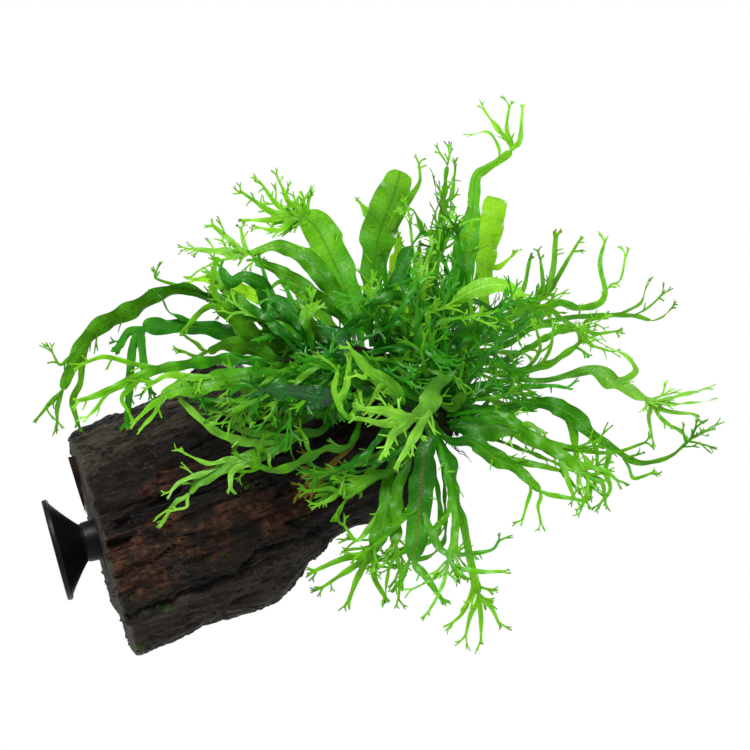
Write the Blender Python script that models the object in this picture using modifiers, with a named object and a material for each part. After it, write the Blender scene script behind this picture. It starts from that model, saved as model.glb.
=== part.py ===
"""A lace java fern on a block of driftwood, with the suction cup that holds it to a glass wall.

The cup's rim lies in the plane x = 0, round the origin, and its axis runs along X into the sawn end of the
wood. The fern's stem creeps over the thin end of the wood, and every frond grows from it on its own stalk.
The plant leans: its parts are placed in a frame of (right, up, back) distances from the middle of the cup,
which is rolled by LEAN, turned by TURN and tipped by TIP against the world's axes.
"""

import math

import bmesh
import bpy
from mathutils import Vector, noise

MM = 0.001
GAP = 0.35 * MM  # left between pieces that touch

# How the plant sits against the world's axes.
LEAN = math.radians(14.6)
TURN = math.radians(5.4)
TIP = math.radians(6.0)

# How the crown opens: past CROWN_REACH from its middle, fronds part in depth by SPLAY per millimetre of reach,
# away from CROWN_DEPTH. Places also spread out from the plant's axis by one part in SPREAD per millimetre back.
CROWN = (125, 65)
CROWN_DEPTH = -24
CROWN_REACH = 18
SPLAY = 0.0095
AXIS = (124, 68)
SPREAD = 1600

# Suction cup, turned about its axis: (radius, distance from the glass).
CUP_STEPS = 32
CUP_PROFILE = (
    (0, 21.5), (7.2, 21.5), (7.9, 20.8), (8.0, 16.0), (7.8, 12.4), (7.3, 11.6), (8.2, 10.6), (11.4, 7.8),
    (15.4, 4.6), (18.2, 2.6), (19.5, 2.3), (20.0, 1.8), (20.0, 0.4), (19.6, 0), (16.8, 0), (15.6, 0.7),
    (12.0, 2.6), (7.0, 4.2), (0, 4.8),
)

# Driftwood: (x, lowest z, highest z, frontmost y, rearmost y) at each station.
SOCKET_RADIUS = 8.35 * MM
SOCKET_DEPTH = 4.6 * MM
CUTTER_LENGTH = 4 * SOCKET_DEPTH
SAWN_TURN = math.radians(2.0)
WOOD_SIDES = 24
WOOD_SQUARENESS = 4.6
WOOD_RIDGE = 1.8 * MM
RIDGE_ALONG = 0.035  # how often the ridges change, per millimetre of grain
RIDGE_ROUND = 2.6  # and round the section
WOOD_STATIONS = (
    (17.4, -46.0, 39.5, -31, 30), (26, -44.5, 41.0, -32, 31), (38, -42.5, 42.5, -34, 31),
    (50, -41.0, 44.3, -36, 29), (58, -41.5, 45.5, -37, 28), (66, -41.3, 47.5, -37, 27),
    (72, -40.8, 51.5, -37, 25), (78, -39.8, 53.0, -37, 24), (84, -35.8, 50.0, -37, 22),
    (91, -31.5, 47.0, -36, 20), (98, -26.0, 45.5, -35, 18), (104, -21.0, 44.8, -34, 16),
    (110, -17.5, 44.0, -33, 14), (117, -17.0, 42.6, -32, 12), (124, -18.5, 40.0, -31, 9),
    (131, -19.8, 36.6, -29, 7), (138, -17.5, 32.5, -26, 4), (144, -12.0, 28.0, -21, 1),
    (148, -4.0, 22.0, -16, -4),
)

# Rhizome: (right, up, back, radius) along each stem.
STEM_SIDES = 2
STEM_POINTS = 22
STEMS = {
    "main": ((89, 73, -40, 2.5), (100, 74, -38, 3.3), (111, 75, -35, 3.6), (122, 74, -32, 4.0),
             (131, 69, -33, 3.8), (140, 61, -36, 4.1), (148, 52, -39, 3.7), (153, 43, -39, 2.6)),
    "branch": ((124, 81, -22, 2.8), (131, 82, -10, 3.4), (141, 80, 2, 3.6), (152, 77, 14, 3.4),
               (162, 73, 26, 2.6)),
}

# Fronds.
FROND_THICKNESS = 0.9 * MM
STALK_WIDTH = 1.7
STATION = 12.5 * MM  # along a blade
CURVE_STEPS = 12  # between two points of a midline
LEAST_WIDTH = 1.3

# Each frond: name, its stem, how far along that stem it sprouts, the roll of its blade in degrees, the blade's
# midline as (right, up, back, width) in millimetres, and its lobes. A lobe starts a share of the way along the
# blade, 1 being the tip, and has a midline of its own.
FRONDS = (
    ("upper_left_blade", "main", 0.4, 14,
     [(118, 85, 2, 3.5), (114, 97, 4, 11), (108, 112, 8, 14.5), (101, 125, 12, 14.5), (95, 130, 14, 10)],
     [(1, [(90, 136, 15, 2.5), (86, 145, 16, 1)]), (1, [(86, 134, 15, 2.5), (80, 142, 17, 1)]),
      (1, [(84, 131, 15, 3), (72, 139, 18, 1)]), (1, [(83, 128, 14, 2.5), (75, 128, 14, 1)]),
      (1, [(87, 124, 13, 2.5), (79, 125, 12, 1)])]),
    ("upper_left_strap", "main", 0.365, -18,
     [(114, 90, -3, 2.5), (104, 106, -2, 8.5), (95, 115, 0, 7), (85, 118, 3, 4.5), (76, 115, 5, 3.5)],
     [(1, [(73, 120, 6, 2), (72, 125, 7, 1)]), (1, [(67, 121, 7, 2.5), (61, 126, 9, 1.5)]),
      (1, [(64, 116, 8, 3.5), (51, 117, 10, 1)]), (1, [(63, 112, 6, 1.5), (55, 108, 5, 1)])]),
    ("upper_left_hook", "main", 0.3, 22,
     [(114, 86, -15, 2.5), (104, 96, -16, 5.5), (94, 104, -14, 6), (85, 109, -11, 4.5),
      (77, 113, -8, 2.5)],
     [(0.6, [(87, 104, -14, 2), (83, 101, -14, 1)])]),
    ("dark_curl", "main", 0.19, -24,
     [(105, 83, -20, 3), (91, 87, -20, 6), (83, 96, -19, 7.5), (80, 103, -21, 6), (73, 106, -21, 4.5),
      (68, 104, -20, 4.5), (64, 110, -19, 3)],
     [(0.5, [(80, 111, -19, 1)])]),
    ("yellow_leaf", "main", 0.28, 20,
     [(100, 91, 9, 1.5), (83, 96, 12, 4.5), (72, 101, 14, 5.5), (61, 105, 16, 4), (54, 105, 17, 1)],
     []),
    ("left_arch", "main", 0.22, 16,
     [(100, 84, 2, 3), (84, 89, 0, 5.5), (70, 95, -2, 6), (59, 98, -4, 4), (52, 101, -6, 5),
      (43, 100, -8, 5.5), (35, 96, -10, 7), (26, 91, -12, 8), (18, 87, -14, 7), (11, 80, -16, 6),
      (7, 72, -18, 5), (3, 62, -19, 3.5)],
     [(1, [(-1, 58, -20, 2), (-6, 52, -21, 1)]), (1, [(1, 55, -18, 2), (1, 50, -17, 1)]),
      (0.85, [(10, 65, -14, 2.5), (7, 58, -12, 3), (9, 49, -11, 1.5)]),
      (0.9, [(2, 72, -20, 1), (-1, 77, -21, 1)]), (0.35, [(40, 105, -8, 1), (39, 107, -8, 1)])]),
    ("left_strap", "main", 0.155, -12,
     [(100, 79, -12, 3), (80, 82, -14, 6), (66, 85, -19, 7), (52, 87, -25, 6), (43, 87, -30, 6),
      (34, 87, -34, 9.5)],
     [(1, [(28, 84, -36, 3.5), (25, 79, -37, 3)]),
      (1, [(30, 77, -36, 3.5), (29, 63, -38, 3.5), (28, 49, -38, 2)]),
      (1, [(34, 78, -36, 3.5), (35, 69, -37, 3), (37, 62, -38, 1.5)]),
      (0.7, [(45, 92, -28, 2), (42, 97, -29, 1)])]),
    ("left_thin_fork", "main", 0.02, 10,
     [(87, 71, -43, 2.5), (78, 73, -43, 4), (66, 74, -42, 4.5), (52, 72, -43, 4.5), (40, 70, -44, 3.5),
      (32, 67, -44, 4), (23, 63, -43, 3), (16, 60, -42, 2.5), (9, 58, -41, 1.5)],
     [(0.85, [(16, 55, -42, 1.5), (13, 52, -42, 1)]), (0.7, [(26, 59, -44, 2), (29, 53, -44, 1)]),
      (0.6, [(28, 73, -43, 2), (19, 75, -40, 2), (10, 72, -38, 1)])]),
    ("left_bright_blade", "main", 0.055, -15,
     [(95, 66, -45, 2.5), (83, 68, -49, 6), (69, 67, -51, 7.5), (58, 65, -52, 8.5), (48, 63, -52, 7.5),
      (41, 60, -51, 5)],
     [(1, [(36, 55, -50, 2.5), (31, 50, -49, 1)]), (1, [(39, 54, -51, 2.5), (34, 48, -51, 1.5)]),
      (0.75, [(44, 68, -51, 2.5), (38, 65, -50, 1.5)])]),
    ("left_hump_leaf", "main", 0.085, 25,
     [(95, 71, -28, 2.5), (84, 74, -30, 6), (76, 78, -31, 7.5), (66, 79, -32, 6), (59, 77, -33, 4)],
     [(1, [(55, 80, -33, 2), (52, 82, -33, 1)]), (1, [(55, 75, -33, 2), (50, 77, -33, 1)])]),
    ("mid_left_dark", "main", 0.1, -20,
     [(98, 81, -35, 3), (95, 89, -34, 6), (89, 95, -32, 7), (83, 98, -30, 3.5)],
     [(0.7, [(90, 101, -31, 1.5)])]),
    ("mid_left_short", "main", 0.335, 18,
     [(114, 80, 12, 2.5), (107, 87, 16, 5.5), (99, 95, 18, 5.5), (93, 100, 19, 3)],
     []),
    ("mid_left_hub", "main", 0.12, 12,
     [(98, 74, -22, 3.5), (90, 78, -23, 7.5), (79, 82, -24, 8.5), (70, 89, -25, 7.5), (63, 96, -26, 7)],
     [(1, [(61, 103, -27, 2.5), (62, 111, -28, 2)]), (1, [(56, 92, -27, 2.5), (51, 86, -28, 2)]),
      (0.3, [(88, 70, -22, 2.5), (83, 68, -23, 1.5)])]),
    ("glossy_upright_leaf", "main", 0.43, -22,
     [(119, 68, -44, 3), (114, 75, -47, 8.5), (110, 81, -48, 8.5), (104, 87, -48, 4.5)],
     [(0.5, [(106, 77, -47, 1.5)])]),
    ("glossy_low_leaf", "main", 0.31, 15,
     [(112, 60, -50, 2.5), (104, 59, -55, 8.5), (92, 61, -57, 7.5), (81, 62, -57, 4)],
     [(1, [(76, 65, -58, 1.5)]), (1, [(76, 60, -58, 1.5)])]),
    ("wood_long_frond", "main", 0.34, -14,
     [(105, 48, -44, 2.5), (94, 45, -46, 4), (84, 39, -47, 5.5), (74, 36, -47, 5), (65, 32, -47, 5.5),
      (56, 27, -46, 4.5), (52, 22, -45, 3.5)],
     [(1, [(47, 19, -45, 2), (43, 13, -44, 1)]), (1, [(51, 17, -46, 1.5), (47, 16, -46, 1)]),
      (0.8, [(49, 27, -47, 2), (45, 23, -47, 1)]), (0.62, [(59, 34, -48, 2), (50, 38, -48, 1)]),
      (0.45, [(69, 31, -48, 2.5), (68, 24, -49, 1.5)]),
      (0.4, [(63, 46, -49, 3.5), (49, 58, -50, 2.5)]), (0.3, [(70, 49, -46, 3), (73, 61, -46, 1.5)])]),
    ("wood_curved_crest", "main", 0.42, 20,
     [(116, 43, -50, 2.5), (104, 39, -51, 3.5), (95, 34, -50, 4), (86, 31, -50, 3), (78, 33, -49, 1.5)],
     [(0.5, [(97, 43, -50, 2), (95, 47, -50, 1)]), (0.9, [(83, 37, -49, 1.5), (80, 40, -49, 1)])]),
    ("wood_upper_strap", "main", 0.28, -10,
     [(113, 58, -34, 2.5), (97, 58, -36, 4.5), (82, 57, -38, 4.5), (67, 58, -38, 3),
      (59, 58, -38, 2.5), (52, 61, -38, 1)],
     [(0.5, [(73, 63, -38, 2), (65, 66, -38, 1)]), (0.8, [(65, 53, -38, 2), (61, 55, -38, 1)])]),
    ("wood_lower_strap", "main", 0.385, 16,
     [(116, 53, -37, 2.5), (100, 53, -35, 5.5), (89, 49, -36, 4.5), (80, 46, -36, 4), (71, 42, -36, 2)],
     [(0.6, [(78, 52, -36, 2.5), (69, 49, -36, 1)])]),
    ("wood_small_crest", "main", 0.53, -16,
     [(131, 34, -40, 2.5), (124, 29, -42, 4), (117, 25, -43, 4.5), (111, 23, -43, 4)],
     [(1, [(107, 20, -43, 2), (102, 18, -43, 1)]), (1, [(106, 24, -43, 2), (98, 23, -43, 1)]),
      (0.6, [(112, 28, -43, 2), (107, 30, -43, 1)]), (0.5, [(115, 21, -44, 1.5)])]),
    ("dead_leaf", "main", 0.45, 12,
     [(117, 45, -34, 1.5), (113, 39, -35, 2.5), (108, 34, -35, 2.5), (101, 27, -34, 1)],
     [(0.4, [(105, 39, -36, 1.5), (100, 36, -36, 1)]), (0.6, [(114, 33, -35, 1)])]),
    ("top_blade", "branch", 0.1, -16,
     [(122, 85, 6, 3), (122, 97, 9, 6), (124, 111, 13, 11), (126, 124, 17, 15), (131, 137, 21, 14.5),
      (134, 147, 25, 9.5)],
     [(0.75, [(141, 142, 22, 1.5), (141, 150, 23, 1)]), (0.72, [(118, 135, 20, 1)])]),
    ("top_back_leaf", "branch", 0.18, 24,
     [(128, 86, 18, 2.5), (130, 97, 22, 5.5), (132, 111, 27, 6), (133, 122, 31, 3.5)],
     []),
    ("dark_middle_strap", "main", 0.47, 20,
     [(132, 77, -24, 3), (131, 90, -23, 6.5), (133, 103, -22, 7.5), (135, 112, -21, 6.5),
      (138, 118, -20, 4)],
     [(1, [(141, 122, -20, 1)]), (0.5, [(128, 105, -23, 2), (128, 112, -24, 1)])]),
    ("lace_frond", "branch", 0.3, -20,
     [(145, 86, 0, 2.5), (145, 99, 1, 4.5), (146, 111, 3, 3), (148, 121, 5, 3), (150, 130, 7, 2.5),
      (151, 140, 9, 2.5), (152, 149, 11, 1.5)],
     [(1, [(149, 154, 11, 1)]), (1, [(153, 154, 12, 1)]),
      (0.78, [(154, 137, 8, 1.5), (155, 147, 8, 1)]), (0.72, [(148, 137, 9, 1), (147, 143, 9, 1)]),
      (0.58, [(143, 123, 4, 3), (139, 132, 4, 1.5), (135, 131, 4, 1)]),
      (0.45, [(153, 118, 5, 1), (156, 121, 5, 1)])]),
    ("lace_side_frond", "main", 0.56, 18,
     [(139, 80, -13, 2.5), (138, 92, -12, 4.5), (141, 103, -11, 4), (144, 112, -10, 2.5),
      (146, 119, -9, 1.5)],
     [(0.5, [(136, 110, -12, 1.5), (134, 116, -13, 1)])]),
    ("lace_dark_tips", "main", 0.64, -14,
     [(149, 78, -31, 2.5), (150, 90, -32, 5), (151, 100, -32, 4.5), (153, 107, -31, 3)],
     [(1, [(150, 112, -31, 1)]), (1, [(155, 111, -31, 1)])]),
    ("tall_frond", "branch", 0.42, 10,
     [(156, 84, 4, 2.5), (157, 97, 6, 7), (158, 110, 9, 9.5), (160, 123, 12, 9.5), (162, 134, 15, 5),
      (163, 144, 18, 4.5), (167, 148, 20, 3.5), (172, 151, 21, 3), (177, 155, 22, 3.5)],
     [(1, [(172, 163, 23, 3), (166, 171, 25, 1)]), (1, [(175, 163, 21, 2), (176, 172, 21, 1)]),
      (1, [(180, 159, 20, 2.5), (181, 171, 19, 1)]), (0.95, [(168, 162, 24, 1.5), (161, 161, 25, 1)])]),
    ("backlit_blade", "branch", 0.52, -12,
     [(165, 87, 26, 2.5), (166, 101, 29, 7), (167, 115, 33, 9.5), (169, 126, 37, 10.5),
      (171, 137, 41, 9.5)],
     [(0.5, [(172, 110, 33, 2.5), (177, 114, 33, 1)])]),
    ("pale_leaf", "main", 0.77, 20,
     [(152, 92, -16, 2), (157, 98, -19, 5), (165, 102, -21, 7.5), (173, 103, -23, 6.5),
      (182, 99, -24, 2.5)],
     []),
    ("right_hub_frond", "branch", 0.62, -18,
     [(165, 80, 6, 2.5), (174, 89, 5, 3.5), (182, 94, 4, 6.5), (188, 96, 3, 9.5)],
     [(1, [(189, 104, 2, 2), (188, 113, 1, 1)]), (1, [(193, 109, 3, 2.5), (194, 122, 3, 2)]),
      (1, [(196, 108, 6, 2), (203, 120, 8, 1)]), (0.7, [(182, 103, 2, 2), (184, 113, 1, 1.5)]),
      (1, [(196, 90, 5, 2), (203, 86, 7, 1)])]),
    ("right_upper_strap", "branch", 0.72, 15,
     [(172, 82, 16, 2), (184, 90, 18, 2.5), (194, 96, 20, 3.5), (203, 94, 22, 2.5), (211, 96, 24, 3),
      (213, 101, 25, 2), (211, 111, 26, 2), (213, 120, 27, 1)],
     [(0.75, [(219, 105, 24, 1), (221, 114, 23, 1)])]),
    ("right_fine_strap", "branch", 0.8, -15,
     [(174, 79, 10, 2), (186, 87, 11, 2), (198, 90, 12, 2), (211, 91, 14, 2), (223, 91, 16, 2),
      (231, 89, 17, 1.5)],
     [(1, [(236, 91, 18, 1), (239, 94, 19, 1)]), (0.8, [(227, 96, 16, 1.5), (229, 102, 16, 1)]),
      (0.9, [(232, 96, 17, 1), (235, 99, 17, 1)])]),
    ("right_cluster", "branch", 0.88, 12,
     [(172, 73, 14, 2), (184, 79, 17, 2.5), (195, 85, 19, 3), (203, 86, 21, 2.5)],
     [(1, [(210, 84, 22, 1.5), (218, 85, 23, 1)]), (1, [(207, 80, 21, 1.5), (216, 77, 21, 1)]),
      (1, [(206, 89, 22, 1.5), (212, 90, 23, 1)])]),
    ("right_low_strap", "main", 0.865, -20,
     [(164, 69, -8, 2), (174, 68, -9, 2.5), (184, 70, -10, 3), (193, 73, -11, 3), (204, 81, -12, 2)],
     [(0.6, [(192, 79, -12, 1.5), (193, 86, -12, 1)]), (0.5, [(188, 79, -10, 1.5), (186, 87, -9, 1)])]),
    ("right_thin_strap", "main", 0.9, 10,
     [(169, 62, -18, 1.5), (180, 63, -20, 2.5), (190, 64, -21, 2), (199, 63, -22, 1)],
     []),
    ("right_long_frond", "main", 0.85, 14,
     [(165, 64, -28, 2), (177, 66, -30, 2), (190, 66, -32, 2), (199, 68, -34, 2.5),
      (208, 70, -36, 4.5), (216, 66, -38, 7.5), (223, 62, -39, 4), (230, 58, -40, 4.5)],
     [(1, [(241, 60, -41, 2.5), (253, 63, -43, 1)]), (1, [(241, 57, -41, 2), (253, 58, -42, 1)]),
      (1, [(237, 54, -40, 2), (247, 53, -41, 1)]), (1, [(235, 51, -39, 2), (242, 46, -39, 1)]),
      (1, [(230, 51, -38, 2), (231, 45, -37, 1)]),
      (0.85, [(225, 70, -36, 2.5), (222, 75, -35, 2), (216, 78, -34, 1)])]),
    ("right_drop_frond", "main", 0.95, -14,
     [(164, 55, -30, 2), (173, 55, -33, 2.5), (182, 57, -36, 3), (190, 57, -38, 5), (196, 55, -40, 7),
      (202, 51, -41, 7), (208, 45, -42, 4), (216, 40, -43, 2.5), (223, 35, -44, 2.5),
      (230, 34, -45, 2), (239, 37, -46, 1.5), (247, 44, -47, 1)],
     [(0.45, [(201, 44, -40, 3.5), (202, 34, -40, 2.5)]),
      (0.62, [(213, 31, -44, 2.5), (215, 24, -44, 2), (211, 18, -44, 1)]),
      (0.7, [(224, 28, -45, 1.5), (231, 30, -46, 1)]), (0.55, [(210, 37, -42, 1.5), (209, 27, -41, 1)])]),
    ("broad_leaf", "main", 0.97, 12,
     [(155, 48, -44, 3.5), (162, 48, -45, 9.5), (171, 48, -46, 11), (178, 46, -47, 8.5)],
     [(1, [(183, 49, -48, 3), (187, 47, -49, 1.5)]),
      (1, [(187, 41, -46, 3.5), (200, 39, -46, 1.5), (216, 38, -46, 1.5), (229, 42, -46, 1)])]),
    ("broad_low_leaf", "main", 0.86, -16,
     [(152, 43, -45, 2.5), (162, 42, -48, 6), (170, 36, -50, 7), (177, 33, -52, 4.5),
      (183, 28, -53, 3.5), (188, 23, -54, 3.5)],
     [(1, [(187, 17, -54, 2), (188, 11, -54, 1)]), (1, [(196, 21, -54, 2), (206, 19, -55, 1)]),
      (0.55, [(188, 33, -52, 2.5), (196, 31, -52, 1.5)]),
      (0.95, [(183, 19, -53, 1.5), (181, 12, -52, 1)])]),
    ("pale_thin_strap", "main", 0.9, 10,
     [(165, 54, -50, 1.5), (176, 52, -52, 2.5), (182, 46, -54, 2.5), (189, 40, -55, 2.5),
      (195, 36, -56, 2.5)],
     [(1, [(198, 29, -57, 2), (202, 24, -57, 1)]), (1, [(203, 34, -57, 2), (210, 31, -57, 1)])]),
    ("crest_mass_frond", "main", 0.93, -12,
     [(162, 51, -56, 2), (178, 48, -59, 3), (191, 41, -61, 4), (200, 34, -62, 4.5), (206, 29, -62, 4.5)],
     [(1, [(212, 26, -62, 2), (213, 20, -62, 1)]), (1, [(206, 22, -63, 2), (204, 17, -63, 1)]),
      (0.8, [(199, 26, -63, 2), (201, 21, -63, 1)]), (0.9, [(213, 31, -61, 2), (218, 27, -61, 1)])]),
    ("central_hanging_blade", "main", 0.74, -10,
     [(145, 46, -45, 3.5), (143, 37, -48, 8), (142, 25, -50, 10), (141, 14, -51, 8.5),
      (140, 4, -51, 8.5), (138, -4, -51, 5)],
     [(1, [(134, -12, -51, 2)]), (1, [(143, -9, -52, 3.5), (150, -19, -53, 1.5)]),
      (0.75, [(152, -1, -53, 2.5), (168, 0, -55, 1.5), (172, 4, -56, 1)])]),
    ("hanging_left_fan", "main", 0.57, 14,
     [(131, 38, -36, 2.5), (129, 27, -38, 4.5), (128, 16, -40, 6), (126, 7, -41, 6.5),
      (123, -1, -41, 7.5)],
     [(1, [(112, -3, -42, 2.5), (100, -8, -42, 1.5)]), (1, [(113, -8, -42, 2.5), (104, -14, -43, 1)]),
      (1, [(117, -11, -41, 2.5), (114, -19, -41, 1.5)]),
      (1, [(124, -11, -40, 2.5), (128, -18, -40, 1.5)]), (0.62, [(117, 4, -40, 2), (112, 10, -40, 1)])]),
    ("hanging_middle_strap", "main", 0.63, -18,
     [(137, 38, -41, 2.5), (133, 25, -43, 4.5), (132, 13, -44, 4.5), (132, 1, -45, 4)],
     [(1, [(129, -8, -45, 2), (128, -17, -45, 1)]), (1, [(134, -9, -46, 2), (133, -19, -46, 1)])]),
    ("hanging_right_frond", "main", 0.88, 16,
     [(152, 38, -42, 3), (154, 31, -43, 6.5), (155, 21, -43, 4), (158, 12, -42, 3), (160, 1, -42, 3),
      (162, -9, -42, 3), (164, -17, -42, 4.5)],
     [(1, [(161, -25, -42, 2), (159, -33, -42, 1)]), (1, [(165, -26, -42, 2), (165, -34, -42, 1)]),
      (1, [(169, -22, -43, 2), (172, -28, -43, 1)]), (0.95, [(158, -24, -41, 1.5), (154, -28, -41, 1)])]),
    ("hanging_right_hub", "main", 0.84, -14,
     [(151, 34, -60, 2), (154, 20, -60, 2.5), (155, 8, -61, 3), (153, -4, -62, 4.5)],
     [(1, [(146, -11, -62, 1.5), (138, -15, -62, 1)]), (1, [(149, -16, -63, 1.5), (145, -23, -63, 1)]),
      (1, [(158, -10, -63, 2)]), (1, [(165, -8, -62, 2), (174, -8, -62, 1)])]),
    ("front_crest_frond", "main", 0.7, 10,
     [(152, 68, -52, 3), (148, 63, -58, 7.5), (144, 55, -62, 8), (138, 51, -64, 7)],
     [(1, [(128, 54, -65, 4), (119, 55, -66, 1.5)]), (1, [(128, 49, -65, 3), (119, 51, -66, 1.5)]),
      (1, [(131, 45, -66, 3.5), (128, 38, -67, 1.5)]),
      (0.9, [(138, 42, -65, 3.5), (133, 34, -66, 1.5)])]),
    ("front_bright_strap", "main", 0.6, -14,
     [(134, 58, -52, 3.5), (131, 63, -57, 6), (124, 68, -60, 5), (119, 73, -61, 3.5),
      (114, 79, -61, 1.5)],
     [(0.5, [(125, 62, -60, 2.5), (123, 58, -60, 1)]), (0.7, [(120, 67, -62, 2), (117, 68, -62, 1)])]),
    ("front_fork_strap", "main", 0.39, 15,
     [(115, 52, -57, 2), (110, 57, -58, 2.5), (113, 64, -58, 3), (114, 73, -59, 1.5)],
     [(0.4, [(108, 63, -57, 2.5), (109, 70, -58, 1.5), (103, 75, -58, 1)])]),
    ("front_dark_leaf", "main", 0.67, -15,
     [(146, 58, -46, 2.5), (141, 61, -48, 6.5), (134, 63, -50, 4.5)],
     []),
    ("front_small_leaf", "main", 0.79, 15,
     [(153, 55, -44, 2.5), (156, 58, -47, 5), (159, 61, -49, 3)],
     []),
    ("fine_left_arc", "main", 0.5, -25,
     [(133, 69, -37, 1.5), (135, 79, -39, 2.5), (140, 89, -40, 2.5), (147, 95, -40, 1.5)],
     [(0.5, [(143, 82, -41, 1.5), (149, 86, -41, 1)])]),
    ("fine_right_arc", "main", 0.8, 25,
     [(158, 69, -26, 1.5), (161, 79, -28, 2.5), (165, 86, -29, 3), (172, 90, -30, 2)],
     [(0.5, [(162, 89, -29, 2), (161, 95, -29, 1)]), (1, [(177, 87, -31, 1.5), (179, 83, -31, 1)])]),
    ("fine_rear_strap", "branch", 0.36, 20,
     [(146, 78, 26, 2), (143, 93, 32, 4), (140, 107, 38, 4), (141, 118, 43, 2)],
     [(0.7, [(136, 112, 40, 1.5)])]),
    ("right_rear_leaf", "branch", 0.92, -20,
     [(169, 77, 30, 2.5), (177, 86, 38, 4.5), (185, 89, 44, 5.5), (193, 93, 50, 2.5)],
     []),
)


def clear_scene():
    for item in list(bpy.data.objects):
        bpy.data.objects.remove(item, do_unlink=True)


def collection_named(name):
    made = bpy.data.collections.new(name)
    bpy.context.scene.collection.children.link(made)
    return made


def material(name, colour, roughness):
    made = bpy.data.materials.new(name)
    made.use_nodes = True
    shader = made.node_tree.nodes["Principled BSDF"]
    shader.inputs["Base Color"].default_value = (*colour, 1)
    shader.inputs["Roughness"].default_value = roughness
    shader.inputs["Metallic"].default_value = 0
    return made


def object_from(name, data, collection, finish):
    made = bpy.data.objects.new(name, data)
    made.data.materials.append(finish)
    collection.objects.link(made)
    return made


def mesh_from(name, shape):
    data = bpy.data.meshes.new(name)
    shape.to_mesh(data)
    shape.free()
    return data


def plant_axes():
    """The plant frame's right, up and back directions in the world."""
    level = Vector((math.cos(TURN), -math.sin(TURN), 0))
    back = Vector((math.sin(TURN) * math.cos(TIP), math.cos(TURN) * math.cos(TIP), -math.sin(TIP)))
    upright = level.cross(back)
    right = math.cos(LEAN) * level - math.sin(LEAN) * upright
    up = math.sin(LEAN) * level + math.cos(LEAN) * upright
    return right, up, back


RIGHT, UP, BACK = plant_axes()


def placed(point):
    """The world position of a (right, up, back, ...) point in millimetres, once the crown has opened."""
    right, up, back = point[:3]
    reach = math.hypot(max(right - CROWN[0], 0), up - CROWN[1]) - CROWN_REACH
    back = CROWN_DEPTH + (back - CROWN_DEPTH) * (1 + SPLAY * max(reach, 0))
    right = AXIS[0] + (right - AXIS[0]) * (1 + back / SPREAD)
    up = AXIS[1] + (up - AXIS[1]) * (1 + back / SPREAD)
    return (right * RIGHT + up * UP + back * BACK) * MM


def between(a, b, c, d, share):
    """A Catmull-Rom curve's value between b and c."""
    square = share * share
    return 0.5 * (2 * b + (c - a) * share + (2 * a - 5 * b + 4 * c - d) * square
                  + (3 * b - a - 3 * c + d) * square * share)


def smooth(points, values, count):
    """Even steps along a smooth curve through points: (place, value) at each of count + 1 steps."""
    padded = [2 * points[0] - points[1], *points, 2 * points[-1] - points[-2]]
    fine = []
    for i in range(len(points) - 1):
        for step in range(CURVE_STEPS):
            share = step / CURVE_STEPS
            place = between(*padded[i:i + 4], share)
            fine.append((place, values[i] + (values[i + 1] - values[i]) * share))
    fine.append((points[-1], values[-1]))
    reach = [0.0]
    for (a, _), (b, _) in zip(fine, fine[1:]):
        reach.append(reach[-1] + (b - a).length)
    found = []
    at = 0
    for step in range(count + 1):
        wanted = reach[-1] * step / count
        while at < len(fine) - 2 and reach[at + 1] < wanted:
            at += 1
        share = (wanted - reach[at]) / max(reach[at + 1] - reach[at], 1e-9)
        place = fine[at][0].lerp(fine[at + 1][0], share)
        found.append((place, fine[at][1] + (fine[at + 1][1] - fine[at][1]) * share))
    return found, reach[-1]


def build_cup(collection):
    profile = bpy.data.meshes.new("suction_cup")
    corners = [(radius * MM, 0, height * MM) for radius, height in CUP_PROFILE]
    profile.from_pydata(corners, [(i, i + 1) for i in range(len(corners) - 1)], [])
    cup = object_from("suction_cup", profile, collection, material("black_rubber", (0.012, 0.012, 0.013), 0.42))
    turn = cup.modifiers.new("turned", "SCREW")
    turn.steps = turn.render_steps = CUP_STEPS
    turn.use_merge_vertices = True
    turn.merge_threshold = 1e-5
    cup.rotation_euler = (0, math.radians(90), 0)


def wood_station(x):
    """The wood's (low, high, front, rear) at x, in millimetres."""
    for a, b in zip(WOOD_STATIONS, WOOD_STATIONS[1:]):
        if x <= b[0]:
            share = (x - a[0]) / (b[0] - a[0])
            return [p + (q - p) * share for p, q in zip(a[1:], b[1:])]
    return list(WOOD_STATIONS[-1][1:])


def squared(part):
    """A circle's cosine or sine, pushed out towards a square's."""
    return math.copysign(abs(part) ** (2 / WOOD_SQUARENESS), part)


def wood_ring(x, sawn):
    """The corners of the wood's section at x: a squarish oval with ridges that run along the grain."""
    low, high, front, rear = wood_station(x)
    ring = []
    for i in range(WOOD_SIDES):
        angle = 2 * math.pi * (i + 0.5) / WOOD_SIDES
        across, upward = math.cos(angle), math.sin(angle)
        y = (front + rear) / 2 + (rear - front) / 2 * squared(across)
        z = (low + high) / 2 + (high - low) / 2 * squared(upward)
        ridge = WOOD_RIDGE * noise.noise(Vector((x * RIDGE_ALONG, across * RIDGE_ROUND, upward * RIDGE_ROUND)))
        place = Vector((x * MM, y * MM, z * MM)) + ridge * Vector((0, across, upward))
        if sawn:
            place.x -= math.tan(SAWN_TURN) * place.y
        ring.append(place)
    return ring


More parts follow.
